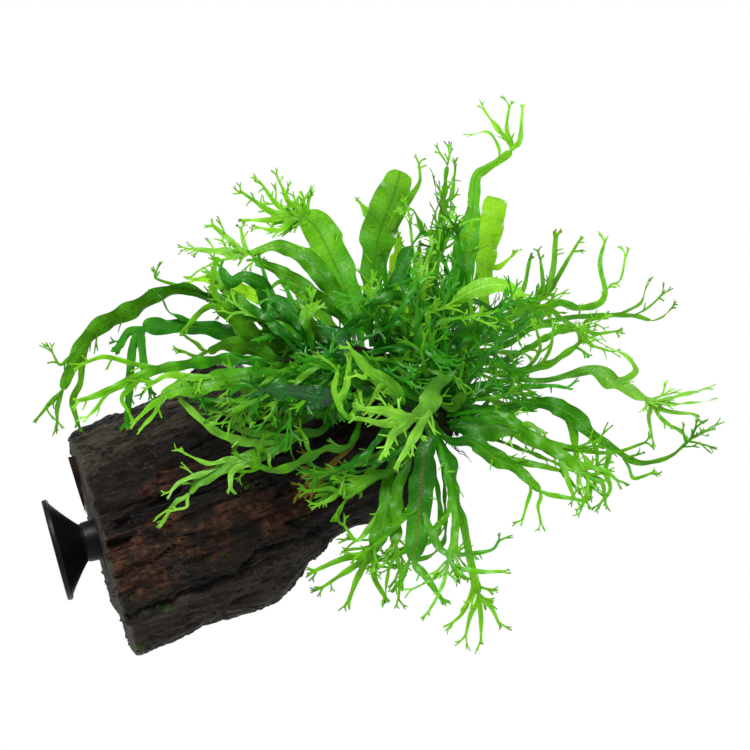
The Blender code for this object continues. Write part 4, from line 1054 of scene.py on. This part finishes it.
def build_frond(frond, stems, finishes, rng):
    name, stem, share, roll, path, lobes = frond
    sheet = Sheet()
    places = [placed(p) for p in path]
    base = sprout(stems[stem], share, places[0])
    widths = [max(p[3], LEAST_WIDTH) * MM for p in path]
    line, length = swept([base, *places], [STALK_WIDTH * MM, *widths], BLADE_STEP)
    _, stalk = smooth([base, places[0]], [1, 1], 1)
    tips = [lobe for lobe in lobes if lobe[0] == 1]
    end = line[-1][1]
    fade = (0.3 if name in BLUNT else 0.9 if tips else 0.7) * end
    line = rounded(line, length, fade, BLUNT.get(name, TIP_WIDTH))
    facing = blade_faces(line, math.radians(roll), rng)
    top = 0.62 if lobes else 0.9
    ribbon(sheet, line, facing, (0, top), rng, EVEN.get(name, 1.0))
    if name in LACE:
        lace(sheet, line, facing, rng)
    if name in CRESTS:
        crest(sheet, line, facing, CRESTS[name], 0.5, rng)
    third = len(line) // 3
    often = BLUNT_TEETH if name in BLUNT else BLADE_TEETH
    teeth(sheet, line[third:], facing[third:], 0.6, rng, often)
    for lobe in lobes:
        at = 1 if lobe[0] == 1 else (stalk + lobe[0] * (length - stalk)) / length
        add_lobe(sheet, line, facing, at, lobe[1], top * at, rng, name in DENSE)
    if not tips and name not in BLUNT:
        along = (line[-1][0] - line[-3][0]).normalized()
        for k in (-0.5, 0.5):
            out = turned(along, facing[-1], k * rng.uniform(0.6, 1.0))
            sprig(sheet, line[-2][0], out, facing[-1], 1.1 * MM, rng.uniform(2, 4) * MM, 1, 0.85, rng)
    family = FAMILIES.get(name, "mid")
    piece = sheet.piece("fern_" + name, finishes[family], rng.random() * 0.5)
    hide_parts("frond_" + name)
    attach(piece, "root")
    return piece


# Groups of fine fronds between the large ones: name, colour families, count, stem and the part of it that
# they grow from, the middle and spread of their ends as (right, up, back), how far they bow rightward and
# upward as shares of their length, widths, and how often their tips fork.
GROUPS = (
    ("centre", ("dark", "mid", "dark", "dark", "fresh"), 48, "main", (0.5, 1.0),
     (162, 80, -22), (17, 17, 18), (0, 0.11), (1.2, 2.6), 2),
    ("heart", ("dark", "mid", "dark"), 20, "main", (0.2, 0.85),
     (133, 93, -36), (15, 12, 8), (0.05, 0.08), (1.6, 3.8), 1),
    ("tangle", ("dark", "mid", "dark"), 24, "main", (0.25, 0.9),
     (137, 68, -48), (16, 12, 5), (0, 0.08), (1.1, 2.4), 1),
    ("centre_low", ("dark", "mid", "dark"), 16, "main", (0.6, 1.0),
     (166, 60, -34), (12, 10, 12), (0, 0.11), (1.3, 2.8), 2),
    ("crown", ("mid", "fresh", "dark"), 13, "branch", (0.0, 0.8),
     (148, 114, -2), (14, 14, 14), (0, 0.05), (1.2, 2.4), 2),
    ("behind", ("dark", "mid", "backlit"), 12, "branch", (0.0, 1.0),
     (140, 98, 14), (24, 12, 12), (0, 0.05), (2.6, 5.5), 1),
    ("upper_left", ("mid", "dark", "fresh"), 13, "main", (0.05, 0.5),
     (84, 91, -22), (20, 12, 12), (0, 0.11), (2.6, 5.5), 2),
    ("over_wood", ("dark", "mid", "dark", "fresh"), 20, "main", (0.1, 0.5),
     (82, 58, -50), (21, 10, 6), (0, 0.11), (1.3, 2.8), 2),
    ("front", ("dark", "mid", "dark"), 14, "main", (0.3, 0.8),
     (111, 64, -50), (14, 11, 8), (0, 0.11), (1.8, 4.2), 2),
    ("right_crest", ("fresh", "mid"), 3, "branch", (0.6, 1.0),
     (200, 98, 12), (16, 14, 12), (0, 0.11), (1.1, 2.0), 2),
    ("right_low", ("mid",), 2, "main", (0.85, 1.0),
     (192, 34, -46), (14, 8, 8), (0, 0.11), (1.4, 2.6), 2),
    ("below", ("mid", "fresh"), 5, "main", (0.8, 1.0),
     (124, -2, -40), (11, 7, 4), (0.22, -0.05), (1.4, 2.6), 2),
    ("wood_end", ("dark", "mid"), 8, "main", (0.55, 0.85),
     (110, 27, -42), (9, 5, 4), (0.2, 0.0), (1.3, 2.4), 2),
)


def strap(sheet, base, end, bow, width, forks, rng):
    """A fine frond from a stalk's base to near an end, its tip forked."""
    lead = end - base
    sag = (UP * (bow[1] + rng.uniform(-0.16, 0.16)) + RIGHT * (bow[0] + rng.uniform(-0.12, 0.12))
           - BACK * rng.uniform(0, 0.2)) * lead.length
    first = base + lead * 0.3 + sag * 0.6
    second = base + lead * 0.66 + sag
    widths = [1.3 * MM, width * 0.7, width, width * 0.75]
    line, _ = swept([base, first, second, end], widths, STRAP_STEP)
    facing = blade_faces(line, rng.uniform(-0.6, 0.6), rng)
    ribbon(sheet, line, facing, (0, 0.66), rng, 1.2)
    third = len(line) // 3
    teeth(sheet, line[third:], facing[third:], 0.6, rng, STRAP_TEETH)
    along = (line[-1][0] - line[-3][0]).normalized()
    count = rng.choice((2, 3, 3, 4))
    for k in range(count):
        angle = rng.uniform(0.7, 1.2) * (k - (count - 1) / 2) / (count - 1) + rng.uniform(-0.1, 0.1)
        out = turned(along, facing[-1], angle)
        sprig(sheet, line[-1][0] - along * 0.5 * width, out, facing[-1], width * rng.uniform(0.4, 0.6),
              rng.uniform(3.0, 7.0) * MM, forks, 0.66, rng)


def build_group(group, stems, finishes, rng):
    name, families, count, stem, part, middle, spread, bow, sizes, forks = group
    sheets = {}
    for k in range(count):
        family = families[k % len(families)]
        sheet = sheets.setdefault(family, Sheet())
        end = placed([m + s * rng.uniform(-1, 1) for m, s in zip(middle, spread)])
        base = sprout(stems[stem], rng.uniform(*part), end)
        strap(sheet, base, end, bow, rng.uniform(*sizes) * MM, forks, rng)
    for family, sheet in sheets.items():
        piece = sheet.piece("fine_" + name + "_" + family, finishes[family], rng.random() * 0.5)
        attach(piece, "root")


# ---------------------------------------------------------------- wood

# Seen from the front, as (right, up): the groove under the slab's edge, and the line above which the wood is
# grey.
SLAB_GROOVE = ((25, -25), (42, -19.5), (60, -15.5), (72, -9.5), (78, -1.5), (90, 2.5), (101, 5.5))
TOP_RIDGE = ((9, 26), (22, 32), (36, 39), (44, 43), (70, 54), (100, 60))
GROOVE_DEPTH = 4.4  # mm
BELOW_GROOVE = (24, 104)  # how far right the lower layer runs

# A knot as (right, up, radius), and slanting spots as (right, up, half length, half height).
KNOT = (58, 61, 9)
RED_PATCHES = (
    (30, 5, 24, 14), (66, 10, 26, 13), (88, 16, 22, 9), (22, -12, 14, 10), (48, 28, 20, 7), (40, -8, 20, 9),
)
DARK_PATCHES = ((34, 14, 17, 5), (24, 4, 11, 3), (103, 22, 9, 4), (112, 28, 10, 4))
SPOT_SLANT = 0.38

# How far the bark's swells, ridges, fibres, edges, terraces and crumbs stand out, and how far all of it is
# sunk, in mm.
BARK_SWELLS = 1.8
BARK_RIDGES = 1.3
BARK_FIBRES = 0.8
BARK_EDGES = 0.5
BARK_TERRACES = 1.3
BARK_CRUMBS = 0.55
BARK_SUNK = 0.5
GRAIN_SLOPE = 0.14
SPLITS = ((0.0, 2.4), (31.0, 1.5))  # where in the noise each set of splits lies, and its depth in mm
SPLIT_WIDTH = 0.03

# The sawn end: its fine checks, and the height below which a corner is torn off and how deep.
CHECK_WIDTH = 0.05
CHECK_DEPTH = 1.2
TORN_BELOW = (30.5, 31.5)
TORN_DEPTH = 1.9


def wood_station(x):
    """The wood's (low, high, front, rear) at x, eased between stations."""
    rows = WOOD_STATIONS
    if x <= rows[0][0]:
        return rows[0][1:]
    for i in range(len(rows) - 1):
        if x <= rows[i + 1][0]:
            share = (x - rows[i][0]) / (rows[i + 1][0] - rows[i][0])
            before = rows[max(i - 1, 0)]
            after = rows[min(i + 2, len(rows) - 1)]
            return [between(before[k], rows[i][k], rows[i + 1][k], after[k], share) for k in range(1, 5)]
    return rows[-1][1:]


def outline(x, columns):
    """The wood's section at x as (y, z) corners, spaced evenly round it."""
    low, high, front, rear = wood_station(x)
    angle = np.linspace(0, 2 * math.pi, 2401)
    c, s = np.cos(angle), np.sin(angle)
    power = 2 / WOOD_SQUARENESS
    y = (front + rear) / 2 + (rear - front) / 2 * np.sign(c) * np.abs(c) ** power
    z = (low + high) / 2 + (high - low) / 2 * np.sign(s) * np.abs(s) ** power
    reach = np.concatenate([[0], np.cumsum(np.hypot(np.diff(y), np.diff(z)))])
    wanted = np.linspace(0, reach[-1], columns + 1)[:-1]
    return np.stack([np.interp(wanted, reach, y), np.interp(wanted, reach, z)], axis=1)


def from_polyline(u, v, line):
    """(distance, signed height above) of a point from a polyline that runs rightward."""
    nearest, above = 1e9, 0.0
    for (a, b), (c, d) in zip(line, line[1:]):
        share = max(0.0, min(1.0, ((u - a) * (c - a) + (v - b) * (d - b)) / ((c - a) ** 2 + (d - b) ** 2)))
        du, dv = u - (a + share * (c - a)), v - (b + share * (d - b))
        gap = math.hypot(du, dv)
        if gap < nearest:
            nearest, above = gap, math.copysign(gap, (c - a) * dv - (d - b) * du)
    return nearest, above


def rise(value, low, high):
    """0 below low and 1 above high, easing between them."""
    share = max(0.0, min(1.0, (value - low) / (high - low)))
    return share * share * (3 - 2 * share)


def patches(u, v, spots):
    """How far a point is inside any of some (centre right, centre up, half length, half height) spots."""
    best = 0.0
    for a, b, half, tall in spots:
        du, dv = (u - a) / half, (v - b - SPOT_SLANT * (u - a)) / tall
        best = max(best, 1 - math.hypot(du, dv))
    return best


def grain(x, y, z, along, across, shift=(0, 0, 0)):
    """Noise drawn out along the grain: along and across say how often it changes, per millimetre."""
    return noise.noise(Vector((x * along, y * across, z * across)) + Vector(shift))


def near_end(x, reach):
    """1 at the sawn end, easing to 0 so many millimetres from it."""
    return 1 - rise(x, WOOD_START, WOOD_START + reach)


def bark_relief(x, y, z):
    """How far the bark stands out in mm and how much painted shade its hollows and splits get, anywhere round
    the wood.
    """
    z -= GRAIN_SLOPE * x
    swell = noise.fractal(Vector((x * 0.02, y * 0.055, z * 0.055)), 1.0, 2.0, 3)
    ridge = 1 - 2 * abs(grain(x, y, z, 0.009, 0.2, (9, 3, 1)))
    fibre = grain(x, y, z, 0.045, 0.6)
    edge = grain(x, y, z, 0.12, 1.5)
    terrace = rise(grain(x, y, z, 0.012, 0.09, (2, 5, 8)), 0.02, 0.06)
    crumb = grain(x, y, z, 0.35, 1.1, (6, 1, 9))
    out = BARK_SWELLS * swell + BARK_RIDGES * ridge + BARK_FIBRES * fibre + BARK_EDGES * edge
    out += BARK_TERRACES * terrace + BARK_CRUMBS * crumb - BARK_SUNK
    # Painted shade where the fibres and edges dip, and in the splits.
    hollow_shade = max(0.0, -fibre * 0.9 - 0.12, -edge * 0.7 - 0.15)
    for shift, deep in SPLITS:
        split = abs(grain(x, y, z, 0.0055, 0.13, (4 + shift, 7, 2)))
        wide = SPLIT_WIDTH * rise(grain(x, y, z, 0.03, 0.05, (shift, 0, 0)), -0.2, 0.3)
        if split < wide:
            cut = 1 - split / wide
            out -= deep * cut
            hollow_shade = max(hollow_shade, cut)
    return out, hollow_shade


def wood_detail(x, y, z, front):
    """(how far the bark stands out in mm, grey, red, painted shade in hollows) at a place on the side of the
    wood.
    """
    out, hollow_shade = bark_relief(x, y, z)
    grey = 0.15
    if front == 0:
        return out, grey, 0.0, hollow_shade
    u, v = seen(Vector((x, y, z)) * MM)
    wobble = 2.2 * noise.noise(Vector((u * 0.09, v * 0.09, 3.0)))
    gap, above = from_polyline(u, v + wobble, SLAB_GROOVE)
    width = (1.0 + 1.4 * rise(u, 44, 70)) * (1 + 0.7 * noise.noise(Vector((u * 0.3, v * 0.3, 6.0))))
    cut = max(0.0, 1 - gap / width)
    out -= front * GROOVE_DEPTH * cut ** 0.6
    # The groove under the slab's edge is sunk and also painted with shadow.
    hollow_shade = max(hollow_shade, front * cut ** 0.5)
    if above < 0 and BELOW_GROOVE[0] < u < BELOW_GROOVE[1]:
        out -= front * (0.8 + 1.2 * rise(u, 45, 75))
        grey = 0.6
    _, over = from_polyline(u, v + wobble * 1.5, TOP_RIDGE)
    grey = max(grey, front * rise(over, -2, 5) * 0.95)
    red = front * rise(patches(u, v + wobble, RED_PATCHES), 0.0, 0.5) * (1 - rise(over, -4, 2))
    dark = rise(patches(u, v + wobble, DARK_PATCHES), 0.0, 0.5)
    # Dark patches are sunk and painted with shade.
    out -= front * 1.8 * dark
    hollow_shade = max(hollow_shade, front * dark * 0.8)
    round_knot = math.hypot(u - KNOT[0], v - KNOT[1]) / KNOT[2]
    if round_knot < 1.4:
        out += 0.9 * math.sin(9 * round_knot) * (1.4 - round_knot)
    return out, grey, red, hollow_shade


def wood_rings():
    """Rings of (x, corners, kind) round the wood, from the bottom of its socket to its right-hand end."""
    start = WOOD_START
    stop = WOOD_STATIONS[-1][0]
    edge = outline(start, WOOD_COLUMNS)
    angle = np.arctan2(edge[:, 1], edge[:, 0])
    circle = np.stack([np.cos(angle), np.sin(angle)], axis=1) * SOCKET_RADIUS
    rings = []
    for k in range(SOCKET_RINGS):
        rings.append((start + SOCKET_DEPTH, circle * (0.05 + 0.95 * k / (SOCKET_RINGS - 1)), "socket"))
    for k in range(CAP_RINGS):
        share = (k / (CAP_RINGS - 1)) ** 0.9
        rings.append((start, circle * (1 - share) + edge * share * 0.985, "face"))
    for k in range(WOOD_RINGS):
        x = start + (stop - start) * (k / (WOOD_RINGS - 1)) ** 0.97
        rings.append((x, outline(x, WOOD_COLUMNS), "side"))
    last = rings[-1][1]
    centre = last.mean(axis=0)
    for k in range(1, END_RINGS):
        share = k / (END_RINGS - 1)
        x = stop + 3.0 * math.sin(share * math.pi / 2)
        rings.append((x, centre + (last - centre) * max(0.02, math.cos(share * math.pi / 2)), "end"))
    return rings


def ledge(z):
    """How far the sawn end is set in below its torn corner."""
    return TORN_DEPTH * rise(-z, *TORN_BELOW)


def end_corner(x, y, z, face):
    """A corner of the sawn face or of its socket: its place in mm, its zones with their painted shade, and
    how pale it is.
    """
    rough = noise.noise(Vector((3.0, y * 0.3, z * 0.12))) * 0.5
    rough += noise.noise(Vector((7.0, y * 1.2, z * 0.5))) * 0.25
    check = abs(noise.noise(Vector((5.0, y * 0.3, z * 0.018))))
    cut = max(0.0, 1 - check / CHECK_WIDTH) if face else 0.0
    place = (x + 0.35 * rough + CHECK_DEPTH * cut + ledge(z), y, z)
    # Painted shade in the checks of the sawn face, and inside the socket all over.
    return place, (0.2, 0.0, 0.45 * cut if face else 0.7), 0.75 if face else 0.0


def side_corner(x, y, z, centre, slant):
    """A corner of the bark: its place in mm, its zones with their painted shade, and how pale it is."""
    radial = np.array((y, z)) - centre
    radial /= max(np.linalg.norm(radial), 1e-6)
    front = rise(Vector((0, radial[0], radial[1])).dot(-BACK), 0.1, 0.5)
    out, grey, red, hollow_shade = wood_detail(x, y, z, front)
    out -= 2.2 * rise(-radial[1], 0.5, 0.9) * rise(x, 30, 60) * (1 - rise(x, 90, 100))
    fade = 1 - near_end(x, 2.1)
    out *= 0.25 + 0.75 * fade
    nick = 1.1 * noise.noise(Vector((0.0, y * 0.5, z * 0.5))) * near_end(x, 4.6)
    nick += ledge(z) * near_end(x, 12.6)
    place = (x - slant + nick, y + radial[0] * out, z + radial[1] * out)
    return place, (grey, red, hollow_shade * (0.3 + 0.7 * fade)), near_end(x, 1.2) * 0.8


def build_wood(finish):
    rings = wood_rings()
    places, zones, sawn = [], [], []
    for x, corners, kind in rings:
        low, high, front, rear = wood_station(x)
        centre = np.array(((front + rear) / 2, (low + high) / 2))
        for y, z in corners:
            slant = math.tan(SAWN_TURN) * y * near_end(x, 22.6)
            if kind in ("face", "socket"):
                place, zone, pale = end_corner(x - slant, y, z, kind == "face")
            else:
                place, zone, pale = side_corner(x, y, z, centre, slant)
            places.append([c * MM for c in place])
            zones.append(zone)
            sawn.append((pale, pale, pale))
    wide = WOOD_COLUMNS
    faces = []
    for i in range(len(rings) - 1):
        for j in range(wide):
            k = (j + 1) % wide
            faces.append((i * wide + j, (i + 1) * wide + j, (i + 1) * wide + k, i * wide + k))
    faces.append(tuple(range(wide)))
    faces.append(tuple(range(len(places) - 1, len(places) - 1 - wide, -1)))
    wood = new_object("driftwood_bark", places, faces, finish)
    set_mark(wood.data, "zone", zones)
    set_mark(wood.data, "sawn", sawn)
    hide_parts("driftwood")
    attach(wood, "root")
    return wood


# ---------------------------------------------------------------- cup, stem, roots

# How many roots cling to the wood below each stem, and how many hang free.
CLINGING_ROOTS = {"main": 90, "branch": 22}
HANGING_ROOTS = 26
ROOT_SIDES = 5
ROOT_STEP = 1.1 * MM
ROOT_RADIUS = 0.22 * MM
HANGING_RADIUS = 0.26 * MM
ROOT_GAP = 0.2 * MM  # from the wood to the middle of a root

# Tufts of moss seen at (right, up), with their spread in mm and how many leaves they have.
MOSS = (
    (42, -22, 3.0, 60), (33, -37.5, 3.5, 40), (21.5, -5.5, 1.5, 26), (74, 25.5, 2.2, 40), (66, -1.5, 1.5, 26),
    (30, -18, 1.2, 14), (52, -9, 1.0, 10), (96, 12, 1.4, 16), (90, -4, 1.2, 12), (112, 8, 1.6, 20),
)

# Splinters round the torn corner, and slivers of bark at the sawn end as (right, up, length, width).
SPLINTERS = 70
SPLINTER_RIGHT = (19.5, 25.5)
SPLINTER_UP = (-27, -12)
SLIVERS = ((6.8, 36.5, 22, 3.4), (7.8, 33, 18, 2.6), (9.8, 24, 10, 1.6))
SLIVER_DEPTH = 8
# The splinters' grey, red and painted shade.
SHARD_ZONE = (0.1, 0.4, 0.2)


def rounded_profile():
    """The cup's profile with each corner cut back, so that it turns smoothly."""
    found = [CUP_PROFILE[0]]
    for before, at, after in zip(CUP_PROFILE, CUP_PROFILE[1:], CUP_PROFILE[2:]):
        for share in CORNER_CUTS:
            found.append(tuple(p + (q - p) * share for p, q in zip(at, before)))
        for share in reversed(CORNER_CUTS):
            found.append(tuple(p + (q - p) * share for p, q in zip(at, after)))
    return [*found, CUP_PROFILE[-1]]


def build_cup(finish):
    profile = rounded_profile()
    places, faces = [], []
    for k in range(CUP_STEPS):
        angle = 2 * math.pi * k / CUP_STEPS
        for radius, height in profile:
            places.append((height * MM, radius * math.cos(angle) * MM, radius * math.sin(angle) * MM))
    size = len(profile)
    for k in range(CUP_STEPS):
        n = (k + 1) % CUP_STEPS
        for i in range(size - 1):
            faces.append((k * size + i, n * size + i, n * size + i + 1, k * size + i + 1))
    cup = new_object("cup_rubber", places, faces, finish)
    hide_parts("suction_cup")
    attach(cup, "root")
    return cup


def tube(sheet, line, sides, lump=0.0):
    """A round tube along a line of (place, radius)."""
    rows, marks = [], []
    normal = Vector((0.3, 0.5, 0.8)).normalized()
    for i, (place, radius) in enumerate(line):
        along = along_at(line, i)
        normal = squared(normal, along)
        other = along.cross(normal)
        row = []
        for k in range(sides + 1):
            angle = 2 * math.pi * (k % sides) / sides
            out = math.cos(angle) * normal + math.sin(angle) * other
            bulge = 1 + lump * noise.noise((place + out * radius) / MM * 0.45)
            row.append(place + out * radius * bulge)
        rows.append(row)
        marks.append([(i, k / sides, 0.5) for k in range(sides + 1)])
    sheet.grid(rows, marks)


def stem_line(name, steps):
    """A stem's line of (place, radius)."""
    points = STEMS[name]
    line, _ = smooth([placed(p) for p in points], [p[3] * MM for p in points], steps)
    return line


def build_stem(name, finish):
    line = stem_line(name, STEM_RINGS)
    shaped = []
    for i, (place, radius) in enumerate(line):
        ends = min(1, 0.25 + i / 5, 0.25 + (len(line) - 1 - i) / 5)
        knob = 1 + 0.1 * math.sin(i * 0.55) ** 2
        shaped.append((place, radius * ends * knob))
    sheet = Sheet()
    tube(sheet, shaped, STEM_SIDES, STEM_LUMPS)
    piece = sheet.piece("stem_" + name, finish)
    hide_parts("rhizome_" + name)
    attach(piece, "root")
    return piece


def wander(start, lead, length, rng, pull, radius, loose=0.35):
    """A wiry root's line: it wanders, drawn towards a direction."""
    steps = max(4, round(length / ROOT_STEP))
    line = []
    place = start.copy()
    for i in range(steps + 1):
        line.append((place.copy(), radius * (1 - 0.75 * i / steps)))
        lead = lead + pull * 0.12 + Vector([rng.uniform(-loose, loose) for _ in range(3)])
        lead.normalize()
        place = place + lead * length / steps
    return line


def build_wires(name, lines, finish):
    sheet = Sheet()
    for line in lines:
        tube(sheet, line, ROOT_SIDES)
    piece = sheet.piece(name, finish)
    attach(piece, "root")
    return piece


def clinging_roots(stems, tree, rng):
    """Roots that run from the stems down over the wood."""
    lines = []
    pull = Vector((0, 0.3, -1))
    for name, count in CLINGING_ROOTS.items():
        stem = stems[name]
        for _ in range(count):
            place, radius = stem[rng.randrange(2, len(stem) - 2)]
            out = Vector([rng.uniform(-1, 1) for _ in range(3)]).normalized()
            start = place + out * radius * 0.7
            lead = (out + Vector((rng.uniform(-1, 1), 0, -0.6))).normalized()
            line = []
            for at, thick in wander(start, lead, rng.uniform(8, 26) * MM, rng, pull, ROOT_RADIUS):
                hit, normal, _, _ = tree.find_nearest(at)
                if hit is not None and (at - hit).dot(normal) < ROOT_GAP:
                    at = hit + normal * ROOT_GAP
                line.append((at, thick))
            lines.append(line)
    return lines


def hanging_roots(stems, rng):
    """Free wiry roots below the end of the main stem."""
    lines = []
    stem = stems["main"]
    pull = -UP * 0.4 + RIGHT * 0.3 - BACK * 0.5
    for _ in range(HANGING_ROOTS):
        place, radius = stem[rng.randrange(len(stem) - 6, len(stem))]
        lead = RIGHT * rng.uniform(0.2, 1) - UP * rng.uniform(0.2, 1) - BACK * rng.uniform(-0.2, 0.4)
        lead.normalize()
        start = place + lead * radius * 0.6
        lines.append(wander(start, lead, rng.uniform(8, 19) * MM, rng, pull, HANGING_RADIUS, 0.6))
    return lines


def front_of_wood(tree, right, up):
    """The point of the wood seen at a (right, up) place, and its normal."""
    near, far = placed_flat(right, up, -200), placed_flat(right, up, 200)
    hit, normal, _, _ = tree.ray_cast(near, (far - near).normalized())
    return hit, normal


def build_moss(tree, finish, rng):
    sheet = Sheet()
    for right, up, spread, count in MOSS:
        for _ in range(count):
            reach = spread * math.sqrt(rng.random())
            angle = rng.uniform(0, 2 * math.pi)
            u, v = right + reach * math.cos(angle), up + 0.5 * reach * math.sin(angle)
            hit, normal = front_of_wood(tree, u, v)
            if hit is None:
                continue
            along = (normal + 0.7 * Vector([rng.uniform(-1, 1) for _ in range(3)])).normalized()
            face = along.orthogonal().normalized()
            start = hit - normal * 0.2 * MM
            sprig(sheet, start, along, face, 0.3 * MM, rng.uniform(0.7, 1.7) * MM, 0, 0.4, rng)
    piece = sheet.piece("moss_tufts", finish)
    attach(piece, "root")
    return piece


def shard(sheet, start, along, face, length, width, thick):
    """A splinter: a thin wedge that tapers to a point."""
    rows, marks = [], []
    side = along.cross(face).normalized()
    for k in range(7):
        share = k / 6
        half = width / 2 * (1 - share) ** 0.7
        up = thick / 2 * (1 - share)
        at = start + along * length * share + face * 0.08 * length * share * share
        rows.append([at - side * half, at + face * up, at + side * half, at - face * up, at - side * half])
        marks.append([(share, 0, 0)] * 5)
    sheet.grid(rows, marks)


def build_splinters(tree, finish, rng):
    """Torn fibres round the lower corner of the sawn end, and a sliver of bark that stands off it."""
    sheet = Sheet()
    for _ in range(SPLINTERS):
        right, up = rng.uniform(*SPLINTER_RIGHT), rng.uniform(*SPLINTER_UP)
        hit, normal = front_of_wood(tree, right, up)
        if hit is None:
            continue
        along = -RIGHT * rng.uniform(0.2, 1.1) - UP * rng.uniform(0.1, 1) + normal * rng.uniform(0.0, 0.4)
        along.normalize()
        length, width = rng.uniform(1.2, 3.6) * MM, rng.uniform(0.25, 0.7) * MM
        shard(sheet, hit - along * 0.8 * MM, along, normal, length, width, 0.3 * MM)
    for right, up, length, width in SLIVERS:
        start = placed_flat(right, up, SLIVER_DEPTH)
        along = (-UP + RIGHT * 0.24).normalized()
        shard(sheet, start, along, -BACK, length * MM, width * MM, 1.0 * MM)
    data_piece = sheet.piece("wood_splinters", finish)
    set_mark(data_piece.data, "zone", [SHARD_ZONE] * len(sheet.places))
    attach(data_piece, "root")
    return data_piece


def build_stage():
    """A pale round floor below the plant, which is no part of it."""
    corners = []
    for k in range(FLOOR_CORNERS):
        angle = 2 * math.pi * k / FLOOR_CORNERS
        x, y = FLOOR_RADIUS * math.cos(angle) + FLOOR_MIDDLE, FLOOR_RADIUS * math.sin(angle)
        corners.append((x, y, FLOOR_LEVEL))
    paint = Nodes("floor_paint")
    paint.coat(FLOOR_COLOUR, 0.9, 0.5)
    floor = new_object("floor", corners, [tuple(range(FLOOR_CORNERS))], paint.material)


# ---------------------------------------------------------------- light and camera

def build_light(name, place, size, power):
    """A round lamp that faces the middle of the plant."""
    data = bpy.data.lights.new(name, "AREA")
    data.shape = "DISK"
    data.size = size
    data.energy = power
    lamp = bpy.data.objects.new(name, data)
    lamp.location = place
    lamp.rotation_mode = "QUATERNION"
    lamp.rotation_quaternion = (MIDDLE - place).to_track_quat("-Z", "Y")
    bpy.context.scene.collection.objects.link(lamp)


def build_studio():
    """White behind the plant, an even light all round it, and three lamps."""
    world = bpy.data.worlds.new("studio")
    bpy.context.scene.world = world
    world.use_nodes = True
    tree = world.node_tree
    background = tree.nodes["Background"]
    background.inputs["Color"].default_value = (1, 1, 1, 1)
    paths = tree.nodes.new("ShaderNodeLightPath")
    strength = tree.nodes.new("ShaderNodeMapRange")
    tree.links.new(paths.outputs["Is Camera Ray"], strength.inputs["Value"])
    strength.inputs["To Min"].default_value = WORLD_LIGHT
    strength.inputs["To Max"].default_value = 1.0
    tree.links.new(strength.outputs[0], background.inputs["Strength"])
    for name, ((right, up, back), size, power) in LAMPS.items():
        build_light(name, MIDDLE + (right * RIGHT + up * UP + back * BACK), size, power)
    settings = bpy.context.scene.view_settings
    settings.view_transform = "Standard"
    settings.look = "None"


def build_camera():
    data = bpy.data.cameras.new("camera")
    data.sensor_width = SENSOR
    data.lens = LENS
    data.clip_end = FAR
    camera = bpy.data.objects.new("camera", data)
    turn = Matrix((RIGHT, UP, -BACK)).transposed()
    camera.matrix_world = Matrix.Translation(MIDDLE - DISTANCE * BACK) @ turn.to_4x4()
    bpy.context.scene.collection.objects.link(camera)
    bpy.context.scene.camera = camera


def tree_of(piece):
    data = piece.data
    return BVHTree.FromPolygons([v.co for v in data.vertices], [p.vertices for p in data.polygons])


def main():
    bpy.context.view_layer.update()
    finishes = {family: fern_material("fern_" + family, family) for family in GREENS}
    wood = build_wood(wood_material())
    build_cup(rubber_material())
    bark = bark_material()
    for name in STEMS:
        build_stem(name, bark)
    stems = {name: stem_line(name, STEM_POINTS) for name in STEMS}
    for index, frond in enumerate(FRONDS):
        build_frond(frond, stems, finishes, random.Random(FROND_SEED + index))
    for index, group in enumerate(GROUPS):
        build_group(group, stems, finishes, random.Random(GROUP_SEED + index))
    tree = tree_of(wood)
    rng = random.Random(WOOD_SEED)
    brown = root_material("root_brown")
    black = root_material("root_black")
    build_wires("clinging_roots", clinging_roots(stems, tree, rng), brown)
    build_wires("hanging_roots", hanging_roots(stems, rng), black)
    build_moss(tree, finishes["fresh"], rng)
    build_splinters(tree, wood.data.materials[0], rng)
    build_stage()
    build_studio()
    build_camera()


main()
